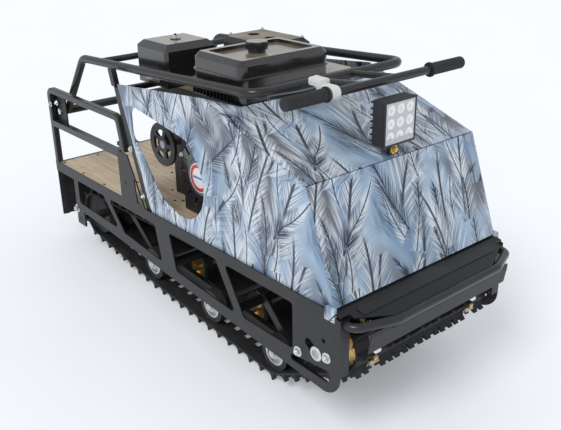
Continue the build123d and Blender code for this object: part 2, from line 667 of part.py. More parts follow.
def tank_cap():
    cap = chamfer(Cylinder(CAP_R, CAP_HEIGHT, align=UPRIGHT).faces().sort_by(Axis.Z)[-1].edges(), CAP_BEVEL)
    for k in range(CAP_FLUTES):
        flute = Rot(0, 0, 360 / CAP_FLUTES * k) * Pos(CAP_R + CAP_FLUTE_R / 2, 0, -OVERRUN)
        cap -= flute * Cylinder(CAP_FLUTE_R, CAP_HEIGHT + OVERRUN * 2, align=UPRIGHT)
    return Pos(cap_x, cap_y, tank_top) * cap


UPRIGHT = (Align.CENTER, Align.CENTER, Align.MIN)
add("fuel_tank", engine * fuel_tank())
add("tank_cap", engine * tank_cap())

# Air filter behind the tank and the guard over the muffler on the left
FILTER_FRONT = 163.0      # behind the crankshaft
FILTER_GAP = 26.5         # inside the steering loop's tube
FILTER_LEFT = 9.5
FILTER_HEIGHT = 121.0
FILTER_BEVEL = 18.0
FILTER_STEP = 3.0         # lower half inside the cover
FILTER_SPLIT = 38.0
STUD_R = 4.0
STUD = 12.0
WASHER_R = 16.0
WASHER = 3.0
MUFFLER_BACK = 255.0      # guard's rear end behind the crankshaft
GUARD_LENGTH = 220.0
GUARD_Y = 62.5
GUARD_GAP = 52.5          # inside the steering loop's tube
GUARD_HEIGHT = 109.0
GUARD_BEVEL = 14.0
GUARD_NOTCH = 30.0
GUARD_HOLE_R = 18.0
GUARD_HOLE_DEPTH = 12.0
GUARD_HOLE_SHARES = (0.295, 0.66)     # of GUARD_LENGTH


def air_filter():
    rear, front, top = crank_x - FILTER_REAR, crank_x - FILTER_FRONT, port_top + FILTER_HEIGHT
    right, split = -room_right + FILTER_GAP, port_top + FILTER_SPLIT
    cover = box(rear, front, right, -FILTER_LEFT, split, top)
    cover = chamfer(cover.faces().sort_by(Axis.Z)[-1].edges(), FILTER_BEVEL)
    cover = chamfer(cover.edges().filter_by(Axis.Z), FILTER_BEVEL / 2)
    base = box(rear + FILTER_STEP, front - FILTER_STEP, right + FILTER_STEP, -FILTER_LEFT - FILTER_STEP,
               port_top, split)
    spot = Pos((rear + front) / 2, (right - FILTER_LEFT) / 2, top)
    washer = Cylinder(WASHER_R, WASHER, align=UPRIGHT)
    stud = Pos(0, 0, WASHER) * Cylinder(STUD_R, STUD, align=UPRIGHT)
    return cover + base + spot * (washer + stud)


def muffler_guard():
    rear = crank_x - MUFFLER_BACK
    left, top = room_left - GUARD_GAP, port_top + GUARD_HEIGHT
    guard = box(rear, rear + GUARD_LENGTH, GUARD_Y, left, port_top, top)
    guard = chamfer(guard.faces().sort_by(Axis.Z)[-1].edges(), GUARD_BEVEL)
    guard -= box(rear - OVERRUN, rear + GUARD_NOTCH, GUARD_Y - OVERRUN, GUARD_Y + GUARD_NOTCH,
                 port_top - OVERRUN, top + OVERRUN)
    for share in GUARD_HOLE_SHARES:
        spot = Pos(rear + share * GUARD_LENGTH, (GUARD_Y + left) / 2, top - GUARD_HOLE_DEPTH)
        guard -= spot * Cylinder(GUARD_HOLE_R, GUARD_HOLE_DEPTH + OVERRUN, align=UPRIGHT)
    return guard


add("air_filter", engine * air_filter())
add("muffler_guard", engine * muffler_guard())

# Drive on the left: grooved pulleys and their belt, the cross shaft with its stands and brake disc
BELT_Y = 204.5            # inner face of the belt
BELT_WIDTH = 24.0
BELT_DEPTH = 10.0
SMALL_PULLEY_R = 70.0
SMALL_BELT_R = 40.0
LARGE_PULLEY_R = 108.0
LARGE_BELT_R = 88.0
CHEEK = 10.0              # pulley cheek beside the belt
HUB_R = 22.0
SHAFT_R = 12.5
SHAFT_RIGHT = 163.5
DISC_R = 68.0
DISC_BORE_R = 46.0
DISC = 8.0
HUB_DISC_R = 26.0
DISC_ARM = 14.0
DISC_ARMS = 5
STAND_HALF = 30.0
STAND_SHEET = 16.0
STAND_RIGHT = 97.5
STAND_LEFT = 142.5
STAND_ABOVE = 34.0
GEARBOX_FRONT = 76.0
GEARBOX_REAR = 84.0
GEARBOX_Y = 42.5
GEARBOX_HALF = 60.0
GEARBOX_HEIGHT = 230.0


def pulley(x, z, rim, seat):
    """A pulley whose cheeks thicken towards the belt's seat."""
    width = CHEEK + BELT_WIDTH + CHEEK
    profile = [(0, 0), (rim, 0), (rim, CHEEK / 2), (seat, CHEEK), (seat, CHEEK + BELT_WIDTH),
               (rim, width - CHEEK / 2), (rim, width), (0, width)]
    return turned(x, z, BELT_Y - CHEEK, profile)


def drive_belt():
    outer = hull(((crank_x, crank_z, SMALL_BELT_R + BELT_DEPTH),
                  (shaft_x, shaft_z, LARGE_BELT_R + BELT_DEPTH)))
    inner = hull(((crank_x, crank_z, SMALL_BELT_R + CLEAR), (shaft_x, shaft_z, LARGE_BELT_R + CLEAR)))
    return plate(outer - inner, BELT_Y + CLEAR, BELT_Y + BELT_WIDTH - CLEAR)


def brake_disc():
    disc = shaft(shaft_x, shaft_z, DISC_R, -SHAFT_RIGHT, -SHAFT_RIGHT + DISC)
    disc -= shaft(shaft_x, shaft_z, DISC_BORE_R, -SHAFT_RIGHT - OVERRUN, -SHAFT_RIGHT + DISC + OVERRUN)
    disc += shaft(shaft_x, shaft_z, HUB_DISC_R, -SHAFT_RIGHT, -SHAFT_RIGHT + DISC * 2)
    reach = (DISC_R + DISC_BORE_R) / 2
    arm = Pos(reach / 2, 0, 0) * Box(reach, DISC, DISC_ARM)
    for k in range(DISC_ARMS):
        disc += Pos(shaft_x, -SHAFT_RIGHT + DISC / 2, shaft_z) * Rot(0, 360 / DISC_ARMS * k, 0) * arm
    return disc - shaft(shaft_x, shaft_z, SHAFT_R, -SHAFT_RIGHT - OVERRUN, -SHAFT_RIGHT + DISC * 2 + OVERRUN)


shaft_left = BELT_Y - CHEEK
drive_pulley = pulley(crank_x, crank_z, SMALL_PULLEY_R, SMALL_BELT_R)
add("drive_pulley", engine * (drive_pulley + shaft(crank_x, crank_z, HUB_R, ENGINE_SIDE, BELT_Y)))
add("driven_pulley", engine * pulley(shaft_x, shaft_z, LARGE_PULLEY_R, LARGE_BELT_R))
add("drive_belt", engine * drive_belt())
add("cross_shaft", engine * shaft(shaft_x, shaft_z, SHAFT_R, -SHAFT_RIGHT, shaft_left))
add("brake_disc", engine * brake_disc())
for y in (-STAND_RIGHT, STAND_LEFT):
    stand = box(shaft_x - STAND_HALF, shaft_x + STAND_HALF, y - STAND_SHEET / 2, y + STAND_SHEET / 2,
                board_top, shaft_z + STAND_ABOVE)
    add("shaft_stands", engine * (stand - shaft(shaft_x, shaft_z, SHAFT_R, y - STAND_SHEET, y + STAND_SHEET)))
near, far = GEARBOX_Y - GEARBOX_HALF, GEARBOX_Y + GEARBOX_HALF
gearbox = box(shaft_x - GEARBOX_REAR, shaft_x + GEARBOX_FRONT, near, far,
              board_top, board_top + GEARBOX_HEIGHT)
gearbox = chamfer(gearbox.edges().filter_by(Axis.Y), HUB_R)
add("gearbox", engine * (gearbox - shaft(shaft_x, shaft_z, SHAFT_R, near - OVERRUN, far + OVERRUN)))

# Gear lever: a flat bar that leans along the hood's rear edge, with a rubber grip
GEAR_SHEET = 6.0
GEAR_UP = 165.0           # its foot over the deck
GEAR_HEIGHT = 200.0
GEAR_FOOT_BACK = 26.5     # behind the post's rear edge, at its foot and at its top
GEAR_TOP_BACK = 12.2
GEAR_FOOT = 37.0
GEAR_FOOT_HEIGHT = 25.0
GEAR_BAR = 15.0
GEAR_GRIP = 16.0          # width of the grip across the tug
GEAR_GRIP_LENGTH = 52.0
GEAR_GRIP_DEPTH = 22.0


def post_rear(z):
    return post_low_x - POST - post_lean * (z - board_top)


def gear_lever():
    foot, top = board_top + GEAR_UP, board_top + GEAR_UP + GEAR_HEIGHT
    foot_x, top_x = post_rear(foot) - GEAR_FOOT_BACK, post_rear(top) - GEAR_TOP_BACK
    lean = (foot_x - top_x) / GEAR_HEIGHT
    foot_top = foot + GEAR_FOOT_HEIGHT
    bar = [(foot_x, foot), (foot_x + GEAR_FOOT, foot), (foot_x + GEAR_FOOT, foot_top),
           (foot_x - lean * GEAR_FOOT_HEIGHT + GEAR_BAR, foot_top), (top_x + GEAR_BAR, top), (top_x, top)]
    lap = hood_half - POST_SHEET
    lever = plate(outline(bar), -lap, -lap + GEAR_SHEET)
    grip_low = post_top + CLEAR
    rear = top_x + lean * (top - grip_low) - (GEAR_GRIP_DEPTH - GEAR_BAR) / 2
    fall = lean * GEAR_GRIP_LENGTH
    knob = [(rear, grip_low), (rear + GEAR_GRIP_DEPTH, grip_low),
            (rear + GEAR_GRIP_DEPTH - fall, grip_low + GEAR_GRIP_LENGTH),
            (rear - fall, grip_low + GEAR_GRIP_LENGTH)]
    middle = -lap + GEAR_SHEET / 2
    return lever + plate(outline(knob, GEAR_SHEET), middle - GEAR_GRIP / 2, middle + GEAR_GRIP / 2)


add("gear_lever", gear_lever())

# Work lamp on its bracket, standing on the hood's upper front
LAMP_HALF = 57.0
LAMP_AHEAD = 2.0          # front of the housing ahead of the hood's crease
LAMP_DEPTH = 34.0
LAMP_GAP = 28.0           # housing over the hood
LAMP_CORNER = 7.0
LAMP_FINS = 7
LAMP_FIN = 4.0
LAMP_FIN_DEPTH = 14.0
LENS = 4.0
LENS_MARGIN = 6.0
LED_R = 13.0
LED_SIDES = 12            # facets of a diode's reflector
LED_PITCH = 33.0
LED_DEPTH = 1.5
BRACKET_HALF = 16.0
BRACKET_SHEET = 8.0

lamp_x = CREASE_X + LAMP_AHEAD
bracket_x = lamp_x - LAMP_DEPTH / 2
hood_slope = (brow_z - crease_z) / (CREASE_X - brow_x)


def on_hood(x):
    return crease_z + SKIN / 2 + hood_slope * (CREASE_X - SKIN - x)


lamp_low = on_hood(bracket_x) + LAMP_GAP
lamp_middle = lamp_low + LAMP_HALF


def work_lamp():
    lamp = box(lamp_x - LAMP_DEPTH, lamp_x, -LAMP_HALF, LAMP_HALF, lamp_low, lamp_low + LAMP_HALF * 2)
    lamp = fillet(lamp.edges().filter_by(Axis.X), LAMP_CORNER)
    span = (LAMP_HALF - LAMP_CORNER) * 2
    for k in range(LAMP_FINS):
        z = lamp_low + LAMP_CORNER + k * (span - LAMP_FIN) / (LAMP_FINS - 1)
        lamp += box(lamp_x - LAMP_DEPTH - LAMP_FIN_DEPTH, lamp_x - LAMP_DEPTH, -LAMP_HALF + LAMP_CORNER,
                    LAMP_HALF - LAMP_CORNER, z, z + LAMP_FIN)
    return lamp


def lamp_lens():
    half = LAMP_HALF - LENS_MARGIN
    lens = box(lamp_x, lamp_x + LENS, -half, half, lamp_middle - half, lamp_middle + half)
    for row in (-1, 0, 1):
        for column in (-1, 0, 1):
            spot = Pos(lamp_x + LENS - LED_DEPTH, column * LED_PITCH, lamp_middle + row * LED_PITCH)
            cut = extrude(RegularPolygon(LED_R, LED_SIDES), amount=LED_DEPTH + OVERRUN)
            lens -= spot * Rot(0, 90, 0) * cut
    return lens


add("work_lamp", work_lamp())
add("lamp_lens", lamp_lens())
foot = [(bracket_x - BRACKET_SHEET / 2, on_hood(bracket_x - BRACKET_SHEET / 2) + CLEAR),
        (bracket_x + BRACKET_SHEET / 2, on_hood(bracket_x + BRACKET_SHEET / 2) + CLEAR),
        (bracket_x + BRACKET_SHEET / 2, lamp_low), (bracket_x - BRACKET_SHEET / 2, lamp_low)]
add("lamp_bracket", plate(outline(foot), -BRACKET_HALF, BRACKET_HALF))

# Track: one closed loop round the sprockets, idlers and outer wheels, with its lugs in the outline
TRACK_BELT = 6.0
LUG = 22.0
LUG_PITCH = 50.0
LUG_ROOT = 8.0            # half widths of a lug
LUG_TIP = 4.0
SPROCKET_R = 72.0
IDLER_IN = 142.0          # rear axle ahead of the frame's rear end
IDLER_DROP = 40.14        # and below the frame's lower edge
IDLER_R = 72.0
WHEEL_R = 52.0
STEP = 5.0                # degrees between points of the loop
NUDGE = 0.001             # degrees, to land on both ends of the floor run
BOW = 0.1                 # how far the lugs' line rises between the outer wheels
# stations behind the front edge as shares of FRAME_LENGTH
WHEEL_SHARES = (0.229, 0.4337, 0.6557)
INNER_SHARES = (0.3687, 0.5789)

track_half = HALF_WIDTH - TRACK_INSET
idler_x = -FRAME_LENGTH + IDLER_IN
idler_z = low(idler_x) - IDLER_DROP
axle_height = LUG + TRACK_BELT + WHEEL_R
wheel_x = [-share * FRAME_LENGTH for share in WHEEL_SHARES]
inner_x = [-share * FRAME_LENGTH for share in INNER_SHARES]
rounds = [(SPROCKET_X, sprocket_z, SPROCKET_R), (idler_x, idler_z, IDLER_R)]
rounds += [(x, over_floor(x, axle_height), WHEEL_R) for x in (wheel_x[0], wheel_x[-1])]
# the run between the outer wheels lies along the floor, which is raked in this frame
DOWN = 270.0 - RAKE
angles = sorted([k * STEP for k in range(round(360 / STEP)) if abs(k * STEP - DOWN) > STEP / 2]
                + [DOWN - NUDGE, DOWN + NUDGE])


def touching(degrees, grow):
    """Where the loop, grown outwards, touches a line that faces a direction."""
    a = math.radians(degrees)
    x, z, r = max(rounds, key=lambda c: c[0] * math.cos(a) + c[1] * math.sin(a) + c[2])
    return (x + (r + grow) * math.cos(a), z + (r + grow) * math.sin(a))


def walk(points, count, shift):
    """Places spaced evenly along a closed chain, each with the chain's direction there."""
    lengths = [math.dist(p, q) for p, q in zip(points, points[1:] + points[:1])]
    places = []
    for k in range(count):
        rest = ((k + shift) * sum(lengths) / count) % sum(lengths)
        i = 0
        while rest > lengths[i]:
            rest -= lengths[i]
            i += 1
        p, q = points[i], points[(i + 1) % len(points)]
        ahead = ((q[0] - p[0]) / lengths[i], (q[1] - p[1]) / lengths[i])
        places.append(((p[0] + ahead[0] * rest, p[1] + ahead[1] * rest), ahead))
    return places


def lug_line():
    """The loop's outer line. Its floor run rises by BOW in the middle, so its end lugs carry the tug."""
    points = [touching(a, TRACK_BELT) for a in angles]
    foot = angles.index(DOWN + NUDGE)
    rear, front = points[foot - 1], points[foot]
    down = math.radians(DOWN)
    x = (rear[0] + front[0]) / 2 - BOW * math.cos(down)
    z = (rear[1] + front[1]) / 2 - BOW * math.sin(down)
    return points[:foot] + [(x, z)] + points[foot:]


def track_outline():
    outer = lug_line()
    length = sum(math.dist(p, q) for p, q in zip(outer, outer[1:] + outer[:1]))
    count = round(length / LUG_PITCH)
    shape = ((-LUG_ROOT, 0.0), (-LUG_TIP, LUG), (LUG_TIP, LUG), (LUG_ROOT, 0.0))
    points = []
    for (spot, ahead), (between, unused) in zip(walk(outer, count, 0.0), walk(outer, count, 0.5)):
        for along, up in shape:
            points.append((spot[0] + ahead[0] * along + ahead[1] * up,
                           spot[1] + ahead[1] * along - ahead[0] * up))
        points.append(between)
    return points


inner_loop = outline([touching(a, 0.0) for a in angles])
add("track", plate(outline(track_outline()) - inner_loop, -track_half, track_half))

# Toothed drivers on the front axle and plain wheels on the rear one, inside the loop
DRIVE_AXLE_R = 13.0
DRIVER_INSET = 63.0       # places inside the track's edges
DRIVER_WIDTH = 30.0
DRIVER_TEETH = 9
DRIVER_ROOT = 12.0        # tooth height
DRIVER_TOOTH = 16.0
DRIVER_HUB_R = 30.0
DRIVER_HUB = 14.0
SPACER_R = 58.0
SPACER_WIDTH = 16.0
IDLER_AXLE_R = 10.0
IDLER_WIDTH = 26.0
ROW_INSET = 28.0          # outer wheels
INNER_INSET = 128.0       # inner wheels
axle_end = HALF_WIDTH - CLEAR
driver_y = track_half - DRIVER_INSET
row_y = track_half - ROW_INSET
inner_y = track_half - INNER_INSET


def driver(y):
    root = SPROCKET_R - DRIVER_ROOT
    face = Circle(root)
    tooth = Pos(root, 0) * Rectangle(DRIVER_ROOT * 2, DRIVER_TOOTH)
    blank = Circle(SPROCKET_R - CLEAR * 2)
    for k in range(DRIVER_TEETH):
        face += Rot(0, 0, 360 / DRIVER_TEETH * k) * tooth
    wheel = plate(Pos(SPROCKET_X, sprocket_z) * (face & blank), y - DRIVER_WIDTH / 2, y + DRIVER_WIDTH / 2)
    return wheel + shaft(SPROCKET_X, sprocket_z, DRIVER_HUB_R, y - DRIVER_WIDTH / 2 - DRIVER_HUB,
                         y + DRIVER_WIDTH / 2 + DRIVER_HUB)


drive = shaft(SPROCKET_X, sprocket_z, DRIVE_AXLE_R, -axle_end, axle_end)
for y in (-driver_y, driver_y):
    drive += driver(y)
drive += shaft(SPROCKET_X, sprocket_z, SPACER_R, -SPACER_WIDTH / 2, SPACER_WIDTH / 2)
add("drive_sprockets", drive)
bracket_face = inner_face - CLEAR
idlers = shaft(idler_x, idler_z, IDLER_AXLE_R, -bracket_face, bracket_face)
for y in (-row_y, -inner_y, inner_y, row_y):
    idlers += shaft(idler_x, idler_z, IDLER_R - CLEAR * 3, y - IDLER_WIDTH / 2, y + IDLER_WIDTH / 2)
add("rear_idlers", idlers)

# Road wheels: a dished rim and hub with a solid tyre, in an outer and an inner row
RIM_R = 36.0
RIM_WALL = 5.0
WEB = 6.0
WHEEL_WIDTH = 26.0
AXLE_R = 8.0
AXLE_PAST = 14.0          # axle past the outer wheel's middle
BEAM_INSET = 70.0         # the beams that carry the axles
BEAM_SHEET = 16.0


def rim(x, z, y):
    """A rim with a web, open towards the outside."""
    half = WHEEL_WIDTH / 2
    dish = [(AXLE_R, -half), (RIM_R, -half), (RIM_R, half), (RIM_R - RIM_WALL, half),
            (RIM_R - RIM_WALL, WEB / 2), (AXLE_R, WEB / 2)]
    sign = math.copysign(1, y)
    return turned(x, z, y, [(r, sign * out) for r, out in dish])


def tyre(x, z, y):
    half = WHEEL_WIDTH / 2
    return turned(x, z, y, [(RIM_R, -half), (WHEEL_R - CLEAR, -half), (WHEEL_R - CLEAR, half), (RIM_R, half)])


beam_y = track_half - BEAM_INSET
for rims, tyres, stations, half in (("road_wheels", "wheel_tyres", wheel_x, row_y),
                                    ("inner_wheels", "inner_tyres", inner_x, inner_y)):
    for x in stations:
        z = over_floor(x, axle_height)
        for y in (-half, half):
            add(rims, rim(x, z, y))
            add(tyres, tyre(x, z, y))
for stations, reach in ((wheel_x, row_y + AXLE_PAST), (inner_x, beam_y - BEAM_SHEET / 2)):
    for x in stations:
        add("wheel_axles", shaft(x, over_floor(x, axle_height), AXLE_R, -reach, reach))

# Suspension: the arms that hang the beams from the cross tubes, and the brackets of the rear axle
BEAM_BELOW = 16.0
BEAM_ABOVE = 20.0
BEAM_PAST = 88.0          # beam past the first and last axle, along its top
BEAM_SLANT = 20.0
ARM_SHEET = 8.0
ARM_TOP = 20.0
ARM_FOOT = 16.0
ARM_RUN = 170.0           # rear arm forwards from its cross tube
FRONT_ARM_RUN = 140.0
HANGER = 6.0
HANGER_TOP = 40.0         # below the deck's top edge
HANGER_SHARES = ((-0.31, 1.0), (-0.14, 1.0), (0.39, 0.44), (0.39, -0.15), (-0.36, -0.15))


def suspension_beam(y):
    rear, front = wheel_x[-1] - BEAM_PAST, wheel_x[0] + BEAM_PAST
    foot_height, top_height = axle_height - BEAM_BELOW, axle_height + BEAM_ABOVE
    corners = [(rear + BEAM_SLANT, over_floor(rear + BEAM_SLANT, foot_height)),
               (front - BEAM_SLANT, over_floor(front - BEAM_SLANT, foot_height)),
               (front, over_floor(front, top_height)), (rear, over_floor(rear, top_height))]
    face = outline(corners)
    for x in wheel_x:
        face -= Pos(x, over_floor(x, axle_height)) * Circle(AXLE_R)
    return plate(face, y - BEAM_SHEET / 2, y + BEAM_SHEET / 2)


def swing_arm(crossing, run, side):
    x, z = crossing
    foot = over_floor(x + run, axle_height)
    top = z + CROSS_R + PLATE
    corners = [(x - ARM_TOP, top), (x + ARM_TOP, top), (x + run + ARM_FOOT, foot), (x + run - ARM_FOOT, foot)]
    face = outline(corners) - Pos(x, z) * Circle(CROSS_R)
    near = beam_y + BEAM_SHEET / 2
    return plate(face, side * near, side * (near + ARM_SHEET))


def axle_bracket(side):
    height = FRAME_TOP - HANGER_TOP - idler_z
    corners = [(idler_x + IDLER_R * along, idler_z + height * up) for along, up in HANGER_SHARES]
    face = outline(corners) - Pos(idler_x, idler_z) * Circle(IDLER_AXLE_R)
    return plate(face, side * inner_face, side * (inner_face - HANGER))


for side, hand in SIDES:
    add("suspension_beams", suspension_beam(side * beam_y))
    add("swing_arms", swing_arm(crossings[0], ARM_RUN, side), swing_arm(crossings[-1], FRONT_ARM_RUN, side))
    add("rear_axle_brackets", axle_bracket(side))

# Rear end: a ribbed rubber flap and the drawbar plate
FLAP = 6.0
FLAP_RIB = 4.0
FLAP_RIB_HALF = 6.0
FLAP_PITCH = 29.0
FLAP_FOOT = 16.0
FLAP_INSET = 2.0
HITCH_LENGTH = 68.0
HITCH_HALF = 35.0
HITCH = 11.5
HITCH_DROP = 8.0
HITCH_CORNER = 14.0
HITCH_BORE_R = 8.5
HITCH_BORE_BACK = 42.0

flap_top = FRAME_TOP - HITCH_DROP - HITCH - CLEAR
flap_back = -FRAME_LENGTH - FLAP_RIB - FLAP
flap_half = inner_face - FLAP_INSET
flap = box(flap_back, flap_back + FLAP, -flap_half, flap_half, FLAP_FOOT, flap_top)
ribs = int((flap_half - FLAP_RIB_HALF) / FLAP_PITCH)
for k in range(-ribs, ribs + 1):
    y = k * FLAP_PITCH
    flap += box(flap_back + FLAP, -FRAME_LENGTH, y - FLAP_RIB_HALF, y + FLAP_RIB_HALF, FLAP_FOOT, flap_top)
add("mudflap", flap)
hitch_rear, hitch_top = -FRAME_LENGTH - HITCH_LENGTH, FRAME_TOP - HITCH_DROP
hitch = box(hitch_rear, -FRAME_LENGTH, -HITCH_HALF, HITCH_HALF, hitch_top - HITCH, hitch_top)
hitch = fillet(hitch.edges().filter_by(Axis.Z).sort_by(Axis.X)[:2], HITCH_CORNER)
bore = Pos(-FRAME_LENGTH - HITCH_BORE_BACK, 0, FRAME_TOP - HITCH_DROP - HITCH / 2)
add("tow_hitch", hitch - bore * Cylinder(HITCH_BORE_R, HITCH + OVERRUN))

# Stand the tug on the floor and write its pieces
stand = Pos(0, 0, GROUND) * Rot(0, -RAKE, 0) * Pos(RAKE_STATION, 0, 0)
placed = {name: [stand * solid for solid in solids] for name, solids in parts.items()}
whole = Compound([solid for solids in placed.values() for solid in solids]).bounding_box()
shift = Pos(-(whole.min.X + whole.max.X) / 2, -(whole.min.Y + whole.max.Y) / 2, -whole.min.Z)
os.makedirs("parts", exist_ok=True)
for name, solids in placed.items():
    final = [shift * solid for solid in solids]
    export_step(final[0] if len(final) == 1 else Compound(final), "parts/" + name + ".step")
print("nodes", len(placed), "size", [round(v, 1) for v in whole.size])
print("hinge at", (shift * stand * Pos(hinge_x, 0, hinge_z)).position)
print("chassis origin at", (shift * stand * Pos(0, 0, 0)).position)
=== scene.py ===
import json
import math

import bmesh
import bpy
from mathutils import Matrix, Vector


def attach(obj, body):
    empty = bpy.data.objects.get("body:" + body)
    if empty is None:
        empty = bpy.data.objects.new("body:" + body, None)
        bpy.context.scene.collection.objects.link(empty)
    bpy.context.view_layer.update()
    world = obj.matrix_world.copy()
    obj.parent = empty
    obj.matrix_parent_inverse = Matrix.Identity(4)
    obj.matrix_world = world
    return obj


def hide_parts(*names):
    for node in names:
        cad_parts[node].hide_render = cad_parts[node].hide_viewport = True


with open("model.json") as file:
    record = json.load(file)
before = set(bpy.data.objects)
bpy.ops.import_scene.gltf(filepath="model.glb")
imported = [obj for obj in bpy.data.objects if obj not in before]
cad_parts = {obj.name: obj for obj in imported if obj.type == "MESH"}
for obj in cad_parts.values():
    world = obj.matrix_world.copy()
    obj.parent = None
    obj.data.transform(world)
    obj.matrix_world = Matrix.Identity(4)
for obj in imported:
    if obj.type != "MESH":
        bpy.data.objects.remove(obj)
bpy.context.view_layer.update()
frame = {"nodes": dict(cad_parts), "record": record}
nodes = frame["nodes"]

# Pieces are drawn in millimetres in the chassis' own frame: x = 0 at the front edge of the side frames,
# y = 0 on the centre plane, z = 0 at the side frames' lowest edge. STAND puts that frame on the floor.
MM = 0.001
RAKE = math.radians(4.0)
HINGE = Vector((-1376.0, 0.0, 413.0))
joints = {joint["name"]: joint for joint in frame["record"]["behaviour"]["joints"]}
hinge_spot = Vector(joints["steering_hinge"]["pos_m"])
TILT = Matrix.Rotation(-RAKE, 4, "Y")
TURN = TILT.to_3x3()
STAND = Matrix.Translation(hinge_spot - TILT @ (HINGE * MM)) @ TILT
FROM_MM = STAND @ Matrix.Scale(MM, 4)


# Camera, in the chassis frame; the picture's size and centre are in pixels
CAMERA = Vector((1047.45, -1365.41, 1122.42))
YAW = math.radians(49.80)
PITCH = math.radians(23.37)
ROLL = math.radians(-0.83)
FOCAL_PX = 767.9
PICTURE = (561, 430)
CENTRE_PX = (280.9, 213.1)
SENSOR = 36.0


def add_camera():
    """A camera that stands where the photograph was taken from."""
    data = bpy.data.cameras.new("camera")
    data.sensor_width = SENSOR
    data.lens = FOCAL_PX / PICTURE[0] * SENSOR
    data.shift_x = (PICTURE[0] / 2 - CENTRE_PX[0]) / PICTURE[0]
    data.shift_y = (CENTRE_PX[1] - PICTURE[1] / 2) / PICTURE[0]
    ahead = Vector((-math.sin(YAW) * math.cos(PITCH), math.cos(YAW) * math.cos(PITCH), -math.sin(PITCH)))
    level = ahead.cross(Vector((0, 0, 1))).normalized()
    upright = level.cross(ahead)
    right = math.cos(ROLL) * level + math.sin(ROLL) * upright
    up = math.cos(ROLL) * upright - math.sin(ROLL) * level
    turn = Matrix((right, up, -ahead)).transposed().to_4x4()
    camera = bpy.data.objects.new("camera", data)
    camera.matrix_world = STAND @ Matrix.Translation(CAMERA * MM) @ turn
    bpy.context.scene.collection.objects.link(camera)
    bpy.context.scene.camera = camera


# Node trees
class Tree:
    """A node tree that one method fills."""

    def __init__(self, tree):
        self.tree = tree

    def socket(self, sockets, key):
        if isinstance(key, int):
            return sockets[key]
        return next(s for s in sockets if s.enabled and s.name == key)

    def feed(self, socket, value):
        if isinstance(value, Term):
            self.tree.links.new(value.socket, socket)
        elif socket.type == "RGBA":
            socket.default_value = (*value, 1.0)
        else:
            socket.default_value = value

    def node(self, kind, settings=None, values=None, out=0):
        node = self.tree.nodes.new(kind)
        for name, value in (settings or {}).items():
            if name == "stops":
                fill_ramp(node.color_ramp, value)
            else:
                setattr(node, name, value)
        for key, value in (values or {}).items():
            self.feed(self.socket(node.inputs, key), value)
        return Term(self, self.socket(node.outputs, out))

    def math(self, operation, *values):
        return self.node("ShaderNodeMath", {"operation": operation}, dict(enumerate(values)))


def fill_ramp(ramp, stops):
    while len(ramp.elements) > 1:
        ramp.elements.remove(ramp.elements[-1])
    for number, (position, colour) in enumerate(stops):
        stop = ramp.elements[0] if number == 0 else ramp.elements.new(position)
        stop.position = position
        stop.color = (*colour, 1.0)


class Term:
    """A socket that Python's operators add Math nodes to."""

    def __init__(self, tree, socket):
        self.tree = tree
        self.socket = socket

    def output(self, name):
        return Term(self.tree, self.tree.socket(self.socket.node.outputs, name))

    def __abs__(self):
        return self.tree.math("ABSOLUTE", self)

    def __add__(self, other):
        return self.tree.math("ADD", self, other)

    def __sub__(self, other):
        return self.tree.math("SUBTRACT", self, other)

    def __rsub__(self, other):
        return self.tree.math("SUBTRACT", other, self)

    def __mul__(self, other):
        return self.tree.math("MULTIPLY", self, other)

    def __truediv__(self, other):
        return self.tree.math("DIVIDE", self, other)

    __radd__ = __add__
    __rmul__ = __mul__


class Finish(Tree):
    """A material, with the textures and mixes that the finishes share."""

    def __init__(self, name, roughness=0.5, metallic=0.0):
        self.material = bpy.data.materials.new(name)
        self.material.use_nodes = True
        super().__init__(self.material.node_tree)
        self.shader = self.tree.nodes["Principled BSDF"]
        self.set("Roughness", roughness)
        self.set("Metallic", metallic)
        self.place = self.node("ShaderNodeTexCoord", out="Object")

    def set(self, name, value):
        self.feed(self.shader.inputs[name], value)

    def chassis(self):
        """Object coordinates turned into the chassis frame, in metres."""
        back = STAND.inverted()
        values = {"Vector": self.place, "Location": back.translation, "Rotation": back.to_euler()}
        return self.node("ShaderNodeMapping", {"vector_type": "POINT"}, values)

    def stretched(self, x, y, z):
        return self.node("ShaderNodeMapping", None, {"Vector": self.chassis(), "Scale": (x, y, z)})

    def split(self, vector):
        x = self.node("ShaderNodeSeparateXYZ", None, {"Vector": vector}, "X")
        return x, x.output("Y"), x.output("Z")

    def noise(self, scale, detail=3.0, rough=0.5, where=None, warp=0.0):
        values = {"Vector": where or self.place, "Scale": scale, "Detail": detail, "Roughness": rough,
                  "Distortion": warp}
        return self.node("ShaderNodeTexNoise", None, values)

    def step(self, value, low, high):
        """0 below low, 1 above high, smooth between; falling where low is the larger."""
        values = {"Value": value, "From Min": low, "From Max": high}
        return self.node("ShaderNodeMapRange", {"interpolation_type": "SMOOTHSTEP"}, values)

    def mix(self, share, first, second):
        values = {"Factor": share, "A": first, "B": second}
        return self.node("ShaderNodeMix", {"data_type": "RGBA"}, values, "Result")

    def bump(self, height, depth_mm, strength=1.0):
        values = {"Height": height, "Distance": depth_mm * MM, "Strength": strength}
        if self.shader.inputs["Normal"].is_linked:
            values["Normal"] = Term(self, self.shader.inputs["Normal"].links[0].from_socket)
        self.set("Normal", self.node("ShaderNodeBump", None, values))


# Finishes
# Colour of the tan dust and painted warm sheen laid on faces that look up
TAN_DUST_AND_SHEEN = (0.34, 0.262, 0.17)


def dust_and_sheen_on_tops(finish, body, share):
    """Tan dust and a painted warm sheen on the faces that look up."""
    normal = finish.node("ShaderNodeNewGeometry", None, None, "Normal")
    upward = finish.step(finish.split(normal)[2], 0.8, 0.97)
    patches = finish.step(finish.noise(11.0, 5.0, 0.65), 0.2, 0.7)
    return finish.mix(upward * (0.4 + 0.6 * patches) * share, body, TAN_DUST_AND_SHEEN)


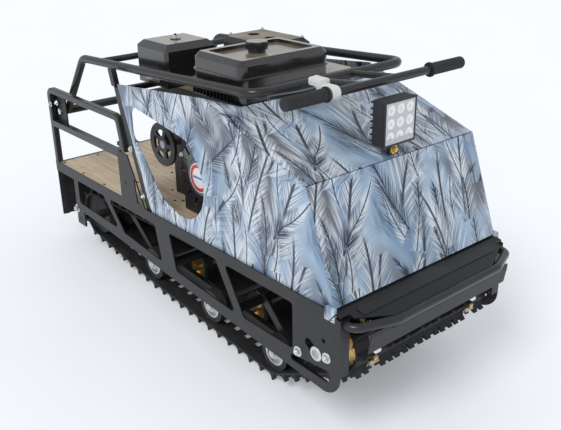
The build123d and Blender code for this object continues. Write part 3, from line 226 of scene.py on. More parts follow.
def powder_coat(name, colour, roughness=0.42, tops_dust_and_sheen=0.0):
    """Satin powder coat: orange peel, handling marks and a thin veil of dust."""
    coat = Finish(name, roughness)
    veil = coat.step(coat.noise(7.0, 5.0, 0.6), 0.45, 0.75)
    scuffs = coat.step(coat.noise(60.0, 6.0, 0.75, warp=1.5), 0.62, 0.74)
    pale = tuple(0.72 * c + 0.045 for c in colour)
    body = coat.mix(veil * 0.5, colour, pale)
    body = coat.mix(scuffs * 0.25, body, (0.16, 0.16, 0.165))
    coat.set("Base Color", dust_and_sheen_on_tops(coat, body, tops_dust_and_sheen) if tops_dust_and_sheen else body)
    coat.set("Roughness", roughness + 0.1 * veil + 0.12 * scuffs)
    coat.bump(coat.noise(700.0, 1.0), 0.12, 0.5)
    return coat.material


def plated(name, colour, roughness=0.32):
    """Zinc plating: cloudy tone, fine drawing lines, tarnish in patches."""
    plate = Finish(name, roughness, 1.0)
    cloud = plate.noise(45.0, 4.0, 0.6)
    tarnish = plate.step(plate.noise(160.0, 5.0, 0.7), 0.5, 0.72)
    dull = tuple(0.55 * c for c in colour)
    plate.set("Base Color", plate.mix(tarnish * 0.6, colour, dull))
    plate.set("Roughness", roughness - 0.08 + 0.22 * cloud + 0.15 * tarnish)
    plate.bump(plate.noise(900.0, 2.0), 0.05, 0.4)
    return plate.material


def rubber(name, colour, roughness=0.72, dust=0.35):
    """Moulded rubber: fine mould grain and grey dust lying in patches."""
    mould = Finish(name, roughness)
    film = mould.step(mould.noise(28.0, 6.0, 0.7), 0.4, 0.72)
    grey = tuple(0.6 * c + 0.06 for c in colour)
    mould.set("Base Color", mould.mix(film * dust, colour, grey))
    mould.set("Roughness", roughness + 0.12 * film)
    mould.bump(mould.noise(420.0, 4.0, 0.7), 0.25, 0.6)
    return mould.material


def moulded_plastic(name, colour, roughness, grain_mm=0.05, tops_dust_and_sheen=0.0):
    """Injection-moulded housing, glossy or satin, with a faint grain and fine dust."""
    shell = Finish(name, roughness)
    dust = shell.step(shell.noise(35.0, 6.0, 0.7), 0.5, 0.8)
    grey = tuple(0.8 * c + 0.03 for c in colour)
    body = shell.mix(dust * 0.6, colour, grey)
    shell.set("Base Color", dust_and_sheen_on_tops(shell, body, tops_dust_and_sheen) if tops_dust_and_sheen else body)
    shell.set("Roughness", roughness + 0.14 * dust)
    shell.set("Coat Weight", 0.7)
    shell.set("Coat Roughness", 0.12)
    shell.bump(shell.noise(850.0, 2.0), grain_mm, 0.5)
    return shell.material


PLY = 1.5                                # thickness of one layer of the board


def plywood():
    """Birch deck board: long streaked grain on the faces, thin plies on the edges."""
    board = Finish("plywood", 0.5)
    streaks = board.noise(1.0, 6.0, 0.62, board.stretched(6.0, 85.0, 85.0), 0.35)
    pores = board.noise(1.0, 3.0, 0.7, board.stretched(40.0, 900.0, 900.0))
    patches = board.noise(4.5, 3.0, 0.5)
    grain = board.mix(board.step(streaks, 0.3, 0.72), (0.66, 0.52, 0.35), (0.42, 0.30, 0.18))
    grain = board.mix(board.step(pores, 0.52, 0.68) * 0.45, grain, (0.30, 0.19, 0.10))
    face = board.mix(board.step(patches, 0.35, 0.7) * 0.5, grain, (0.74, 0.64, 0.48))
    height = board.split(board.chassis())[2]
    layer = board.math("FRACT", height / (PLY * MM))
    edge = board.mix(board.step(layer, 0.4, 0.6), (0.50, 0.35, 0.20), (0.27, 0.17, 0.09))
    normal = board.node("ShaderNodeNewGeometry", None, None, "Normal")
    upward = abs(board.split(normal)[2])
    board.set("Base Color", board.mix(board.step(upward, 0.4, 0.6), edge, face))
    board.set("Roughness", 0.42 + 0.25 * streaks)
    board.bump(pores, 0.2, 0.4)
    return board.material


def sprigs(film, u, v, cell, lean, spread, needles, reach, edge, seed):
    """One layer of frosted twigs: in each cell of a jittered grid a stem whose needles slant forwards."""
    flat = film.node("ShaderNodeCombineXYZ", None, {"X": u / cell + seed, "Y": v / cell - seed})
    values = {"Vector": flat, "Scale": 1.0, "Randomness": 0.85}
    position = film.node("ShaderNodeTexVoronoi", {"voronoi_dimensions": "2D"}, values, "Position")
    middle_x, middle_y = film.split(position)[:2]
    flat_x, flat_y = film.split(flat)[:2]
    chance = film.split(position.output("Color"))
    across = flat_x - middle_x
    upward = flat_y - middle_y
    angle = lean + (chance[0] - 0.5) * spread
    cosine = film.math("COSINE", angle)
    sine = film.math("SINE", angle)
    along = across * cosine + upward * sine
    curve = film.math("MULTIPLY", along * along, (chance[1] - 0.5) * 0.7)
    aside = abs(upward * cosine - across * sine + curve)
    slant = along - aside * 1.9 + aside * aside * 1.6
    strokes = {"X": slant * needles, "Y": aside * 2.5, "Z": chance[2] * 40.0}
    stroke = film.noise(1.0, 1.0, 0.4, film.node("ShaderNodeCombineXYZ", None, strokes))
    length = reach * (0.75 - along)
    plume = film.step(aside, length, length * 0.25)
    needle = film.step(stroke, 0.52 - edge, 0.52 + edge) * plume
    ends = film.step(abs(along), 0.62, 0.40)
    stem = film.step(aside, 0.020, 0.008)
    return needle * ends, stem * ends, plume * ends


# cell, lean, spread, needles, reach, edge and seed; shade of the plume, colour and strength of the needles
TWIG_LAYERS = (
    (0.38, 1.35, 1.1, 26.0, 0.32, 0.12, 3.3, (0.07, 0.08, 0.12), (0.60, 0.73, 0.87), 0.60),
    (0.30, 1.45, 1.2, 46.0, 0.36, 0.06, 41.9, (0.24, 0.30, 0.38), (0.88, 0.93, 0.98), 0.75),
    (0.27, 1.85, 1.1, 38.0, 0.30, 0.06, 11.7, (0.12, 0.20, 0.36), (0.90, 0.94, 0.98), 0.90),
    (0.21, 1.30, 1.3, 36.0, 0.26, 0.05, 7.1, (0.22, 0.32, 0.46), (0.012, 0.022, 0.06), 0.95),
    (0.24, 1.60, 0.9, 46.0, 0.24, 0.05, 31.3, (0.50, 0.60, 0.70), (0.92, 0.96, 1.0), 0.85),
    (0.17, 1.75, 1.2, 34.0, 0.22, 0.05, 19.9, (0.36, 0.46, 0.58), (0.010, 0.018, 0.05), 0.95),
    (0.13, 1.50, 1.4, 26.0, 0.20, 0.05, 57.1, (0.55, 0.66, 0.78), (0.90, 0.95, 1.0), 0.80),
)
STEM_BLACK, BLUE_BLACK = (0.008, 0.010, 0.022), (0.01, 0.03, 0.06)


def cloud(film, sheet, shift, scale, detail, rough, warp):
    """Soft clouds over the film, read from a place of the noise of their own."""
    moved = film.node("ShaderNodeMapping", None, {"Vector": sheet, "Location": shift})
    return film.noise(scale, detail, rough, moved, warp)


def camouflage(name, u_axis, v_axis):
    """Winter camouflage film on the hood: pale frost, blurred dark patches and layers of frosted twigs."""
    film = Finish(name, 0.34)
    place = film.chassis()
    u, v = (film.node("ShaderNodeVectorMath", {"operation": "DOT_PRODUCT"}, {0: place, 1: axis}, "Value")
            for axis in (u_axis, v_axis))
    sheet = film.node("ShaderNodeCombineXYZ", None, {"X": u, "Y": v})
    sky = film.noise(5.0, 2.0, 0.5, sheet, 0.5)
    bark = cloud(film, sheet, (3.1, 1.7, 0.0), 3.4, 2.0, 0.45, 0.5)
    frost = cloud(film, sheet, (7.7, 5.2, 0.0), 6.5, 3.0, 0.5, 0.8)
    ground = film.mix(film.step(sky, 0.38, 0.62), (0.46, 0.61, 0.77), (0.17, 0.29, 0.46))
    ground = film.mix(film.step(bark, 0.49, 0.62) * 0.9, ground, (0.13, 0.115, 0.12))
    ground = film.mix(film.step(frost, 0.52, 0.66) * 0.7, ground, (0.80, 0.87, 0.93))
    for *shape, shade, colour, strength in TWIG_LAYERS:
        needle, stem, plume = sprigs(film, u, v, *shape)
        ground = film.mix(plume * 0.38, ground, shade)
        ground = film.mix(needle * strength, ground, colour)
        ground = film.mix(stem * 0.95, ground, STEM_BLACK)
    film.set("Base Color", film.mix(0.1, ground, BLUE_BLACK))
    film.set("Coat Weight", 0.2)
    film.set("Coat Roughness", 0.18)
    film.bump(film.noise(500.0, 2.0), 0.06, 0.35)
    return film.material


def turned_steel(name, colour, roughness):
    """Bare turned steel: fine lines along the shafts and darker stains."""
    turned = Finish(name, roughness, 1.0)
    lines = turned.noise(1.0, 3.0, 0.6, turned.stretched(900.0, 40.0, 900.0))
    stain = turned.step(turned.noise(70.0, 5.0, 0.7), 0.5, 0.7)
    turned.set("Base Color", turned.mix(stain * 0.5, colour, tuple(0.4 * c for c in colour)))
    turned.set("Roughness", roughness + 0.2 * lines)
    turned.bump(lines, 0.05, 0.4)
    return turned.material


finishes = {
    "frame_paint": powder_coat("frame_paint", (0.012, 0.0122, 0.013)),
    "tube_paint": powder_coat("tube_paint", (0.020, 0.0202, 0.021), 0.26),
    "plywood": plywood(),
    "zinc": plated("zinc", (0.74, 0.75, 0.77)),
    "gold_zinc": plated("gold_zinc", (0.80, 0.55, 0.20)),
    "steel_shaft": turned_steel("steel_shaft", (0.52, 0.52, 0.53), 0.28),
    "track_rubber": rubber("track_rubber", (0.016, 0.016, 0.017)),
    "tyre_rubber": rubber("tyre_rubber", (0.022, 0.022, 0.023), 0.66),
    "flap_rubber": rubber("flap_rubber", (0.018, 0.018, 0.019), 0.62),
    # The engine's paint and plastic take tan dust and a painted warm sheen on their upward faces
    "engine_paint": powder_coat("engine_paint", (0.014, 0.014, 0.015), 0.38, 0.8),
    "engine_plastic": moulded_plastic("engine_plastic", (0.016, 0.0155, 0.016), 0.20, tops_dust_and_sheen=0.75),
    "lamp_body": powder_coat("lamp_body", (0.020, 0.020, 0.021), 0.5),
    "lamp_glass": moulded_plastic("lamp_glass", (0.62, 0.64, 0.66), 0.12),
    "grip_rubber": rubber("grip_rubber", (0.014, 0.014, 0.015), 0.6, 0.2),
    "perch_plastic": moulded_plastic("perch_plastic", (0.74, 0.74, 0.72), 0.4),
    "lever_paint": powder_coat("lever_paint", (0.018, 0.018, 0.019), 0.35),
}
reflector = plated("reflector", (0.80, 0.81, 0.82), 0.16)
diode_yellow = moulded_plastic("diode", (0.86, 0.80, 0.50), 0.2, 0.02)

# Nodes whose finish isn't their slot's; the film climbs the slopes of the hood's front and top
UP_FRONT = Vector((-98.0, 0.0, 268.0)).normalized()
UP_TOP = Vector((-296.0, 0.0, 113.0)).normalized()
side_film = camouflage("hood_film_side", (1.0, 0.0, 0.0), (0.0, 0.0, 1.0))
# A darker copy of the frame paint: painted shade on the front step, the guard and the cross tubes
deep_black = powder_coat("deep_black", (0.008, 0.008, 0.0085), 0.46)
own_finishes = {
    "hood_side_right": side_film,
    "hood_side_left": side_film,
    "hood_front": camouflage("hood_film_front", (0.0, 1.0, 0.0), UP_FRONT),
    "hood_top_front": camouflage("hood_film_top", (0.0, 1.0, 0.0), UP_TOP),
    "front_step": deep_black,
    "front_guard": deep_black,
    "frame_cross_tubes": deep_black,
}

RING_INNER, RING_OUTER, RING_FADE = 29.0, 40.2, 0.8
BAR_HALF, BAR_REACH = 3.6, 27.5


def within(finish, value, limit, fade):
    """1 where a length is well under a limit, fading to 0 at it; limit and fade are in millimetres."""
    return finish.step(value, limit * MM, (limit - fade) * MM)


def ring_label(middle):
    """A plain round label: pale, with a red ring and a blue bar across it."""
    label = Finish("ring_label", 0.35)
    x, y, z = label.split(label.chassis())
    x, z = (x - middle.x * MM), (z - middle.z * MM)
    radius = label.math("SQRT", x * x + z * z)
    beyond = label.step(radius, RING_INNER * MM, (RING_INNER + RING_FADE) * MM)
    ring = beyond * within(label, radius, RING_OUTER, RING_FADE)
    bar = within(label, abs(z), BAR_HALF, 0.6) * within(label, radius, BAR_REACH, 0.7)
    worn = label.step(label.noise(90.0, 4.0, 0.7), 0.5, 0.75)
    paper = label.mix(worn * 0.5, (0.78, 0.79, 0.80), (0.60, 0.61, 0.62))
    paper = label.mix(ring, paper, (0.55, 0.03, 0.04))
    label.set("Base Color", label.mix(bar, paper, (0.05, 0.20, 0.55)))
    label.set("Roughness", 0.32 + 0.2 * worn)
    return label.material


def dress_nodes():
    """Each CAD node takes the finish of its material slot, or its own."""
    for row in frame["record"]["subparts"]:
        node = nodes[row["node"]]
        finish = own_finishes.get(row["node"]) or finishes[row["material_slot"]]
        for place in node.material_slots:
            place.material = finish


# Shapes drawn in millimetres
UPRIGHT = Matrix.Identity(4)
SHARP = math.radians(32.0)               # faces that turn more than this keep a hard edge


class Draft:
    """A mesh under construction, in millimetres."""

    def __init__(self):
        self.mesh = bmesh.new()

    def place(self, made, matrix):
        bmesh.ops.transform(self.mesh, matrix=matrix, verts=made["verts"])

    def block(self, low, high, bevel=0.0):
        """An upright block between two corners, its edges broken."""
        spot = Matrix.Translation((Vector(low) + Vector(high)) / 2)
        size = Matrix.Diagonal((*(abs(b - a) for a, b in zip(low, high)), 1.0))
        made = bmesh.ops.create_cube(self.mesh, size=1.0)
        self.place(made, spot @ size)
        if bevel:
            edges = list({edge for vert in made["verts"] for edge in vert.link_edges})
            bmesh.ops.bevel(self.mesh, geom=edges, offset=bevel, segments=2, affect="EDGES", profile=0.6)

    def prism(self, points, y0, y1):
        """An outline in x and z, drawn across the tug between two y values."""
        near = [self.mesh.verts.new((x, y0, z)) for x, z in points]
        far = [self.mesh.verts.new((x, y1, z)) for x, z in points]
        self.mesh.faces.new(near)
        self.mesh.faces.new(list(reversed(far)))
        for k in range(len(points)):
            after = (k + 1) % len(points)
            self.mesh.faces.new((near[after], near[k], far[k], far[after]))

    def lathe(self, profile, sides, place=UPRIGHT):
        """(radius, along) points turned about a placing matrix' z axis, closed where the radius is 0."""
        rings = []
        for radius, along in profile:
            if radius == 0:
                rings.append([self.mesh.verts.new(place @ Vector((0, 0, along)))])
                continue
            angles = (2 * math.pi * k / sides for k in range(sides))
            spots = [Vector((radius * math.cos(a), radius * math.sin(a), along)) for a in angles]
            rings.append([self.mesh.verts.new(place @ spot) for spot in spots])
        for before, after in zip(rings, rings[1:]):
            for k in range(sides):
                n = (k + 1) % sides
                quad = ((before, k), (before, n), (after, n), (after, k))
                corners = [ring[number % len(ring)] for ring, number in quad]
                self.mesh.faces.new(list(dict.fromkeys(corners)))

    def bake(self, name, matrix, material, smooth=False):
        """The finished mesh, its faces outwards and its points placed by a matrix."""
        bmesh.ops.recalc_face_normals(self.mesh, faces=self.mesh.faces)
        bmesh.ops.transform(self.mesh, matrix=matrix, verts=self.mesh.verts)
        data = bpy.data.meshes.new(name)
        self.mesh.to_mesh(data)
        self.mesh.free()
        data.materials.append(material)
        if smooth:
            data.shade_smooth()
            data.set_sharp_from_angle(angle=SHARP)
        return data


def settle(name, data, body="chassis", hides=()):
    """Makes a mesh a piece, its body and the nodes that it stands for."""
    piece = bpy.data.objects.new(name, data)
    bpy.context.scene.collection.objects.link(piece)
    if hides:
        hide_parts(*hides)
    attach(piece, body)


def add_piece(name, draft, slot, body="chassis", hides=(), material=None, smooth=True):
    """One piece from a shape in millimetres."""
    data = draft.bake(name, FROM_MM, material or finishes[slot], smooth)
    settle(name, data, body, hides)


# Shapes that repeat: one Geometry Nodes tree sets a shape on points, each with its own turn
class Repeat(Tree):
    """Sets a shape on every point, with the point's turn, sized by Length, Width and Height."""

    SIZES = ("Length", "Width", "Height")

    def __init__(self, name, material):
        tree = bpy.data.node_groups.new(name, "GeometryNodeTree")
        super().__init__(tree)
        tree.interface.new_socket("Geometry", in_out="INPUT", socket_type="NodeSocketGeometry")
        tree.interface.new_socket("Shape", in_out="INPUT", socket_type="NodeSocketObject")
        for label in self.SIZES:
            tree.interface.new_socket(label, in_out="INPUT", socket_type="NodeSocketFloat")
        tree.interface.new_socket("Geometry", in_out="OUTPUT", socket_type="NodeSocketGeometry")
        given = tree.nodes.new("NodeGroupInput")
        size = {axis: Term(self, given.outputs[label]) for axis, label in zip("XYZ", self.SIZES)}
        scale = self.node("ShaderNodeCombineXYZ", None, size)
        points, source = Term(self, given.outputs["Geometry"]), Term(self, given.outputs["Shape"])
        shape = self.node("GeometryNodeObjectInfo", None, {"Object": source}, "Geometry")
        vector = {"data_type": "FLOAT_VECTOR"}
        turn = self.node("GeometryNodeInputNamedAttribute", vector, {"Name": "turn"}, "Attribute")
        copies = {"Points": points, "Instance": shape, "Rotation": turn, "Scale": scale}
        spread = self.node("GeometryNodeInstanceOnPoints", None, copies)
        real = self.node("GeometryNodeRealizeInstances", None, {"Geometry": spread})
        done = self.node("GeometryNodeSetMaterial", None, {"Geometry": real, "Material": material})
        outlet = tree.nodes.new("NodeGroupOutput")
        tree.links.new(done.socket, outlet.inputs["Geometry"])


def facing(direction, roll=0.0):
    """The turn that points a shape's z axis along a direction in the chassis frame."""
    aim = (TURN @ Vector(direction)).to_track_quat("Z", "Y")
    return (aim.to_matrix() @ Matrix.Rotation(roll, 3, "Z")).to_euler()


def repeat(name, shape, spots, slot, size=(1.0, 1.0, 1.0), material=None, smooth=False):
    """One piece on the chassis from a shape in millimetres and a list of (chassis point, turn)."""
    finish = material or finishes[slot]
    baked = shape.bake(name + "_shape", Matrix.Scale(MM, 4), finish, smooth)
    source = bpy.data.objects.new(name + "_shape", baked)
    points = bpy.data.meshes.new(name + "_points")
    points.from_pydata([FROM_MM @ Vector(spot) for spot, turn in spots], [], [])
    turns = points.attributes.new("turn", "FLOAT_VECTOR", "POINT")
    turns.data.foreach_set("vector", [part for spot, turn in spots for part in turn])
    carrier = bpy.data.objects.new(name + "_points", points)
    for made in (source, carrier):
        bpy.context.scene.collection.objects.link(made)
    modifier = carrier.modifiers.new("repeat", "NODES")
    modifier.node_group = Repeat(name + "_repeat", finish).tree
    given = dict(zip(Repeat.SIZES, size), Shape=source)
    for item in modifier.node_group.interface.items_tree:
        if item.in_out == "INPUT" and item.name in given:
            modifier[item.identifier] = given[item.name]
    data = bpy.data.meshes.new_from_object(carrier.evaluated_get(bpy.context.evaluated_depsgraph_get()))
    data.name = name
    for made in (source, carrier):
        bpy.data.objects.remove(made)
    settle(name, data)


def bolt(head, height, washer, thickness):
    """A hexagon head with broken corners on its washer, and the stud's end."""
    draft = Draft()
    rim = [(washer, 0), (washer, thickness * 0.7), (washer * 0.95, thickness)]
    draft.lathe([(0, 0), *rim, (0, thickness)], 20)
    top = thickness + height
    hexagon = [(head, thickness), (head, top - height * 0.18), (head * 0.86, top)]
    draft.lathe([(0, thickness), *hexagon, (0, top)], 6)
    stud, tip = head * 0.48, top + height * 0.35
    draft.lathe([(0, top), (stud, top), (stud, top + height * 0.25), (stud * 0.8, tip), (0, tip)], 12)
    return draft


def disc_screw():
    """A round screw head with its socket, of unit radius and height for its sizes to scale."""
    draft = Draft()
    draft.lathe([(0, 0), (1, 0), (0.92, 0.7), (0.6, 1), (0.42, 1), (0.4, 0.35), (0, 0.35)], 14)
    return draft


# Track: the loop's outline round its wheels, the belt with its windows, paddles and clips
RAKE_STATION, GROUND = 700.0, 119.0      # so far behind the front edge, the chassis' zero is so high up
AXLE_UP = 80.0                           # the wheels' axles over the floor
WHEEL_X = (-327.9, -621.1, -939.0)
WHEELS = [(x, (AXLE_UP - GROUND - (x + RAKE_STATION) * math.sin(RAKE)) / math.cos(RAKE)) for x in WHEEL_X]
WHEEL_R = 52.0
DRIVE, IDLER = Vector((-80.0, 90.0)), Vector((-1290.0, 45.0))
DRIVE_R = 72.0
ROUNDS = [(DRIVE.x, DRIVE.y, DRIVE_R), (IDLER.x, IDLER.y, DRIVE_R)]
ROUNDS += [(x, z, WHEEL_R) for x, z in (WHEELS[0], WHEELS[-1])]
LOOP_MIDDLE = Vector((-700.0, 0.0, 60.0))
FLOOR_RUN = 270.0 - math.degrees(RAKE)   # outward direction of the floor run, from the chassis' x
FAN, NUDGE = 5.0, 0.001                  # degrees between tangents, and beside the floor run's
TRACK_HALF, BELT, LUG_PITCH = 250.0, 6.0, 50.0
WINDOW_Y, WINDOW_WIDTH, WINDOW_SHARE = 187.0, 34.0, 0.46
LUG_BARS = ((-TRACK_HALF, -206), (-168, 168), (206, TRACK_HALF))
PADDLES = ((208, 248, 20.5), (122, 164, 22), (66, 112, 22), (6, 58, 20.5))      # near edge, far edge, height
PADDLE_NOTCH = 6.0


def loop_points(grow):
    """The belt's line, grown outwards, as the tangents of its wheels every few degrees."""
    angles = [k * FAN for k in range(round(360 / FAN)) if abs(k * FAN - FLOOR_RUN) > FAN / 2]
    points = []
    for degrees in sorted(angles + [FLOOR_RUN - NUDGE, FLOOR_RUN + NUDGE]):
        a = math.radians(degrees)
        x, z, r = max(ROUNDS, key=lambda c: c[0] * math.cos(a) + c[1] * math.sin(a) + c[2])
        points.append(Vector((x + (r + grow) * math.cos(a), z + (r + grow) * math.sin(a))))
    return points


def stations(points, shares):
    """Places along the loop at shares of every pitch: (place, direction ahead)."""
    runs = list(zip(points, points[1:] + points[:1]))
    lengths = [(after - before).length for before, after in runs]
    total = sum(lengths)
    count = round(total / LUG_PITCH)
    found = []
    for k in range(count):
        for share in shares:
            rest = (k + share) * total / count % total
            for (before, after), length in zip(runs, lengths):
                if rest <= length:
                    break
                rest -= length
            ahead = (after - before).normalized()
            found.append((before + ahead * rest, ahead))
    return found


def along_loop(share, y, grow=BELT):
    """Points at one share of each pitch, each with the turn that sets z outwards and y across the tug."""
    across = Vector((0, 1, 0))
    spots = []
    for spot, ahead in stations(loop_points(grow), (share,)):
        out = TURN @ Vector((ahead.y, 0, -ahead.x))
        basis = Matrix((across.cross(out), across, out)).transposed()
        spots.append(((spot.x, y, spot.y), basis.to_euler()))
    return spots


def belt_draft():
    """The belt as bands across, left open at its two rows of windows, then given its thickness."""
    draft = Draft()
    near, far = WINDOW_Y - WINDOW_WIDTH / 2, WINDOW_Y + WINDOW_WIDTH / 2
    edges = [-TRACK_HALF, -far, -near, near, far, TRACK_HALF]
    bar = (1 - WINDOW_SHARE) / 2
    places = stations(loop_points(BELT), (0.0, bar, 1 - bar))
    rows = [[draft.mesh.verts.new((spot.x, y, spot.y)) for y in edges] for spot, ahead in places]
    for k, row in enumerate(rows):
        after = rows[(k + 1) % len(rows)]
        for j in range(len(edges) - 1):
            window = k % 3 == 1 and j in (1, 3)
            if not window:
                draft.mesh.faces.new((row[j], after[j], after[j + 1], row[j + 1]))
    faces = draft.mesh.faces
    bmesh.ops.recalc_face_normals(draft.mesh, faces=faces)
    if sum(face.normal.dot(face.calc_center_median() - LOOP_MIDDLE) for face in faces) < 0:
        bmesh.ops.reverse_faces(draft.mesh, faces=faces)
    bmesh.ops.solidify(draft.mesh, geom=faces, thickness=BELT)
    return draft


def paddle_row():
    """One row of rubber paddles with notched tips on its low bar; z is outwards, y across the tug."""
    draft = Draft()
    for low, high in LUG_BARS:
        draft.prism([(-9, 0), (-7, 5), (7, 5), (9, 0)], low, high)
    for near, far, height in PADDLES:
        for side in (-1, 1):
            low, high = sorted((side * near, side * far))
            third = (high - low) / 3
            for k, top in enumerate((height, height - PADDLE_NOTCH, height)):
                start = low + k * third
                draft.prism([(-7, 3), (-2.2, top), (2.2, top), (7, 3)], start, start + third)
    return draft


def clip_shape():
    """The pressed steel clip round the bar between two windows."""
    draft = Draft()
    draft.block((-13.5, -17, -1), (13.5, 17, 3.0), 0.9)
    draft.block((-13.5, -17, 2.0), (-9.0, 17, 9.0), 0.9)
    return draft


def driver_tip():
    """A driver's tooth where it comes through a window."""
    draft = Draft()
    draft.prism([(-8, -12), (-7, 8), (-4, 14), (4, 14), (7, 8), (8, -12)], -7, 7)
    return draft


def on_driver(spot):
    """Whether a point of the loop lies on the driver's front half."""
    x, y, z = spot
    return x > DRIVE.x - 4 and (Vector((x, z)) - DRIVE).length < DRIVE_R + 4


def add_track():
    """The belt, which stands for the whole track node, and what sits on it."""
    add_piece("track_belt", belt_draft(), "track_rubber", hides=("track",), smooth=False)
    repeat("track_paddles", paddle_row(), along_loop(0.0, 0.0), "track_rubber")
    windows = (-WINDOW_Y, WINDOW_Y)
    repeat("track_clips", clip_shape(), [spot for y in windows for spot in along_loop(0.0, y)], "zinc")
    teeth = [(spot, turn) for y in windows for spot, turn in along_loop(0.5, y, 0.0) if on_driver(spot)]
    repeat("driver_tips", driver_tip(), teeth, "gold_zinc")


# Fastenings: a bolt is given by its head's radius and height and its washer's radius and thickness
FRAME_BOLT = (9.5, 7.0, 14.0, 2.2)
RAIL_BOLT = (6.0, 5.0, 9.0, 1.6)
AXLE_NUT = (12.0, 7.0, 17.0, 2.5)
TENSIONER_NUT = (10.0, 8.0, 15.0, 2.5)
LAMP_BOLT = (8.0, 6.0, 12.0, 2.0)
GUARD_SCREW = (4.5, 3.5, 7.0, 1.2)
FILTER_NUT = (7.0, 6.0, 9.0, 1.0)
STARTER_BOLT = (5.0, 4.0, 7.0, 1.2)
UP, AHEAD, TO_RIGHT = facing((0, 0, 1)), facing((1, 0, 0)), facing((0, -1, 0))
BOARD_TOP = 219.9
BOARD_EDGE = 291.0
SCREWS_SEEN = [(-923, -153), (-843, -196), (-823, -180), (-811, -173)]


def both_sides(x, y, z):
    """The same place on the right and the left, each head turned a little differently."""
    return [((x, side * y, z), facing((0, side, 0), 0.3 + 0.01 * x)) for side in (-1, 1)]


def add_side_bolts():
    """Bolts and nuts on both outer sides: name, sizes, and places (x, out, z) on one side."""
    rows = (
        ("frame_bolts", FRAME_BOLT, [(-144, 310, 66), (-43, 310, 97)]),
        ("rail_bolts", RAIL_BOLT, [(-1359, 310, 449), (-1409, 310, 435), (-895, 303, 399), (-846, 303, 262)]),
        ("axle_nuts", AXLE_NUT, [(x, 236, z) for x, z in WHEELS]),
        ("tensioner_nuts", TENSIONER_NUT, [(-1308, 306, 80)]),
    )
    for name, sizes, places in rows:
        spots = [spot for place in places for spot in both_sides(*place)]
        repeat(name, bolt(*sizes), spots, "zinc")


def add_axle_ends():
    """The collars and the bare ends of the drivers' axle, on the outside of the side frames."""
    spots = both_sides(DRIVE.x, 309.8, DRIVE.y)
    ring, cap = Draft(), Draft()
    ring.lathe([(12.0, -2), (19.0, -2), (19.0, 1.0), (17.0, 2.6), (12.0, 2.6), (12.0, -2)], 32)
    repeat("axle_rings", ring, spots, "zinc", smooth=True)
    cap.lathe([(0, -1.0), (12.4, -1.0), (12.4, 0.6), (11.4, 1.4), (4.0, 1.4), (3.0, -0.4), (0, -0.4)], 28)
    repeat("axle_ends", cap, spots, "steel_shaft", smooth=True)


def add_deck_screws():
    """Screws round the deck board's edges, across it and beside the engine."""
    places = SCREWS_SEEN + [(x, side * BOARD_EDGE) for side in (-1, 1) for x in (-1404, -1260, -1116, -986)]
    places += [(-1060, y) for y in (-200, -66, 66, 200)] + [(-1404, y) for y in (-160, 0, 160)]
    spots = [((x, y, BOARD_TOP), UP) for x, y in places]
    repeat("deck_screws", disc_screw(), spots, "frame_paint", (5.0, 5.0, 1.6))


# Work lamp: a square face, its middle LAMP_UP over the chassis' zero
LAMP_UP, LAMP_HALF, LAMP_RIM = 590.1, 56.5, 5.7
LAMP_FACE, LAMP_LENS = -119.2, -121.5
LAMP_SCREW = 53.6                        # out from the middle, both ways
DIODE_PITCH, RIB_PITCH = 33.0, 4.0


def add_lamp_fastenings():
    """A screw in each corner of the lamp's face and the bolt that it turns on."""
    out = (-LAMP_SCREW, LAMP_SCREW)
    corners = [((LAMP_FACE - 4.8, y, LAMP_UP + z), AHEAD) for y in out for z in out]
    repeat("lamp_screws", disc_screw(), corners, "zinc", (2.4, 2.4, 1.4))
    repeat("lamp_bolt", bolt(*LAMP_BOLT), [((-137.0, 0.0, 517.0), AHEAD)], "gold_zinc")


def add_lamp():
    """The lamp's bezel, its reflectors and diodes, and the ribs of the lens' foot."""
    bezel = Draft()
    full, inner = LAMP_HALF, LAMP_HALF - LAMP_RIM
    for y0, y1, z0, z1 in ((-full, -inner, -full, full), (inner, full, -full, full),
                           (-inner, inner, -full, -inner), (-inner, inner, inner, full)):
        bezel.block((LAMP_FACE - 5.0, y0, LAMP_UP + z0), (LAMP_FACE, y1, LAMP_UP + z1), 0.9)
    add_piece("lamp_bezel", bezel, "lamp_body")
    steps = (-DIODE_PITCH, 0.0, DIODE_PITCH)
    spots = [((LAMP_LENS, y, LAMP_UP + z), AHEAD) for y in steps for z in steps]
    bowl, diode, rib = Draft(), Draft(), Draft()
    bowl.lathe([(0, 0.15), (5.0, 0.2), (12.6, 1.4), (12.9, 1.7), (12.2, 1.7), (5.2, 0.5), (0, 0.45)], 24)
    repeat("lamp_reflectors", bowl, spots, "lamp_glass", material=reflector, smooth=True)
    diode.lathe([(0, 0.3), (4.2, 0.3), (3.8, 1.4), (2.4, 2.2), (0, 2.5)], 16)
    repeat("lamp_diodes", diode, spots, "lamp_glass", material=diode_yellow, smooth=True)
    rib.block((-0.9, -0.8, -6.0), (0.9, 0.8, 6.0), 0.3)
    ribs = [((-120.0, k * RIB_PITCH, 547.0), (0.0, -RAKE, 0.0)) for k in range(-12, 13)]
    repeat("lens_ribs", rib, ribs, "lamp_glass")


# Handlebar
BAR_X, BAR_Z = -188.0, 676.0
GRIP_START, GRIP_LENGTH = 180.0, 130.0
GRIP_R, COLLAR_R, GROOVE_R, BORE_R = 16.0, 19.0, 15.1, 11.2
GROOVE_PITCH = 7.0


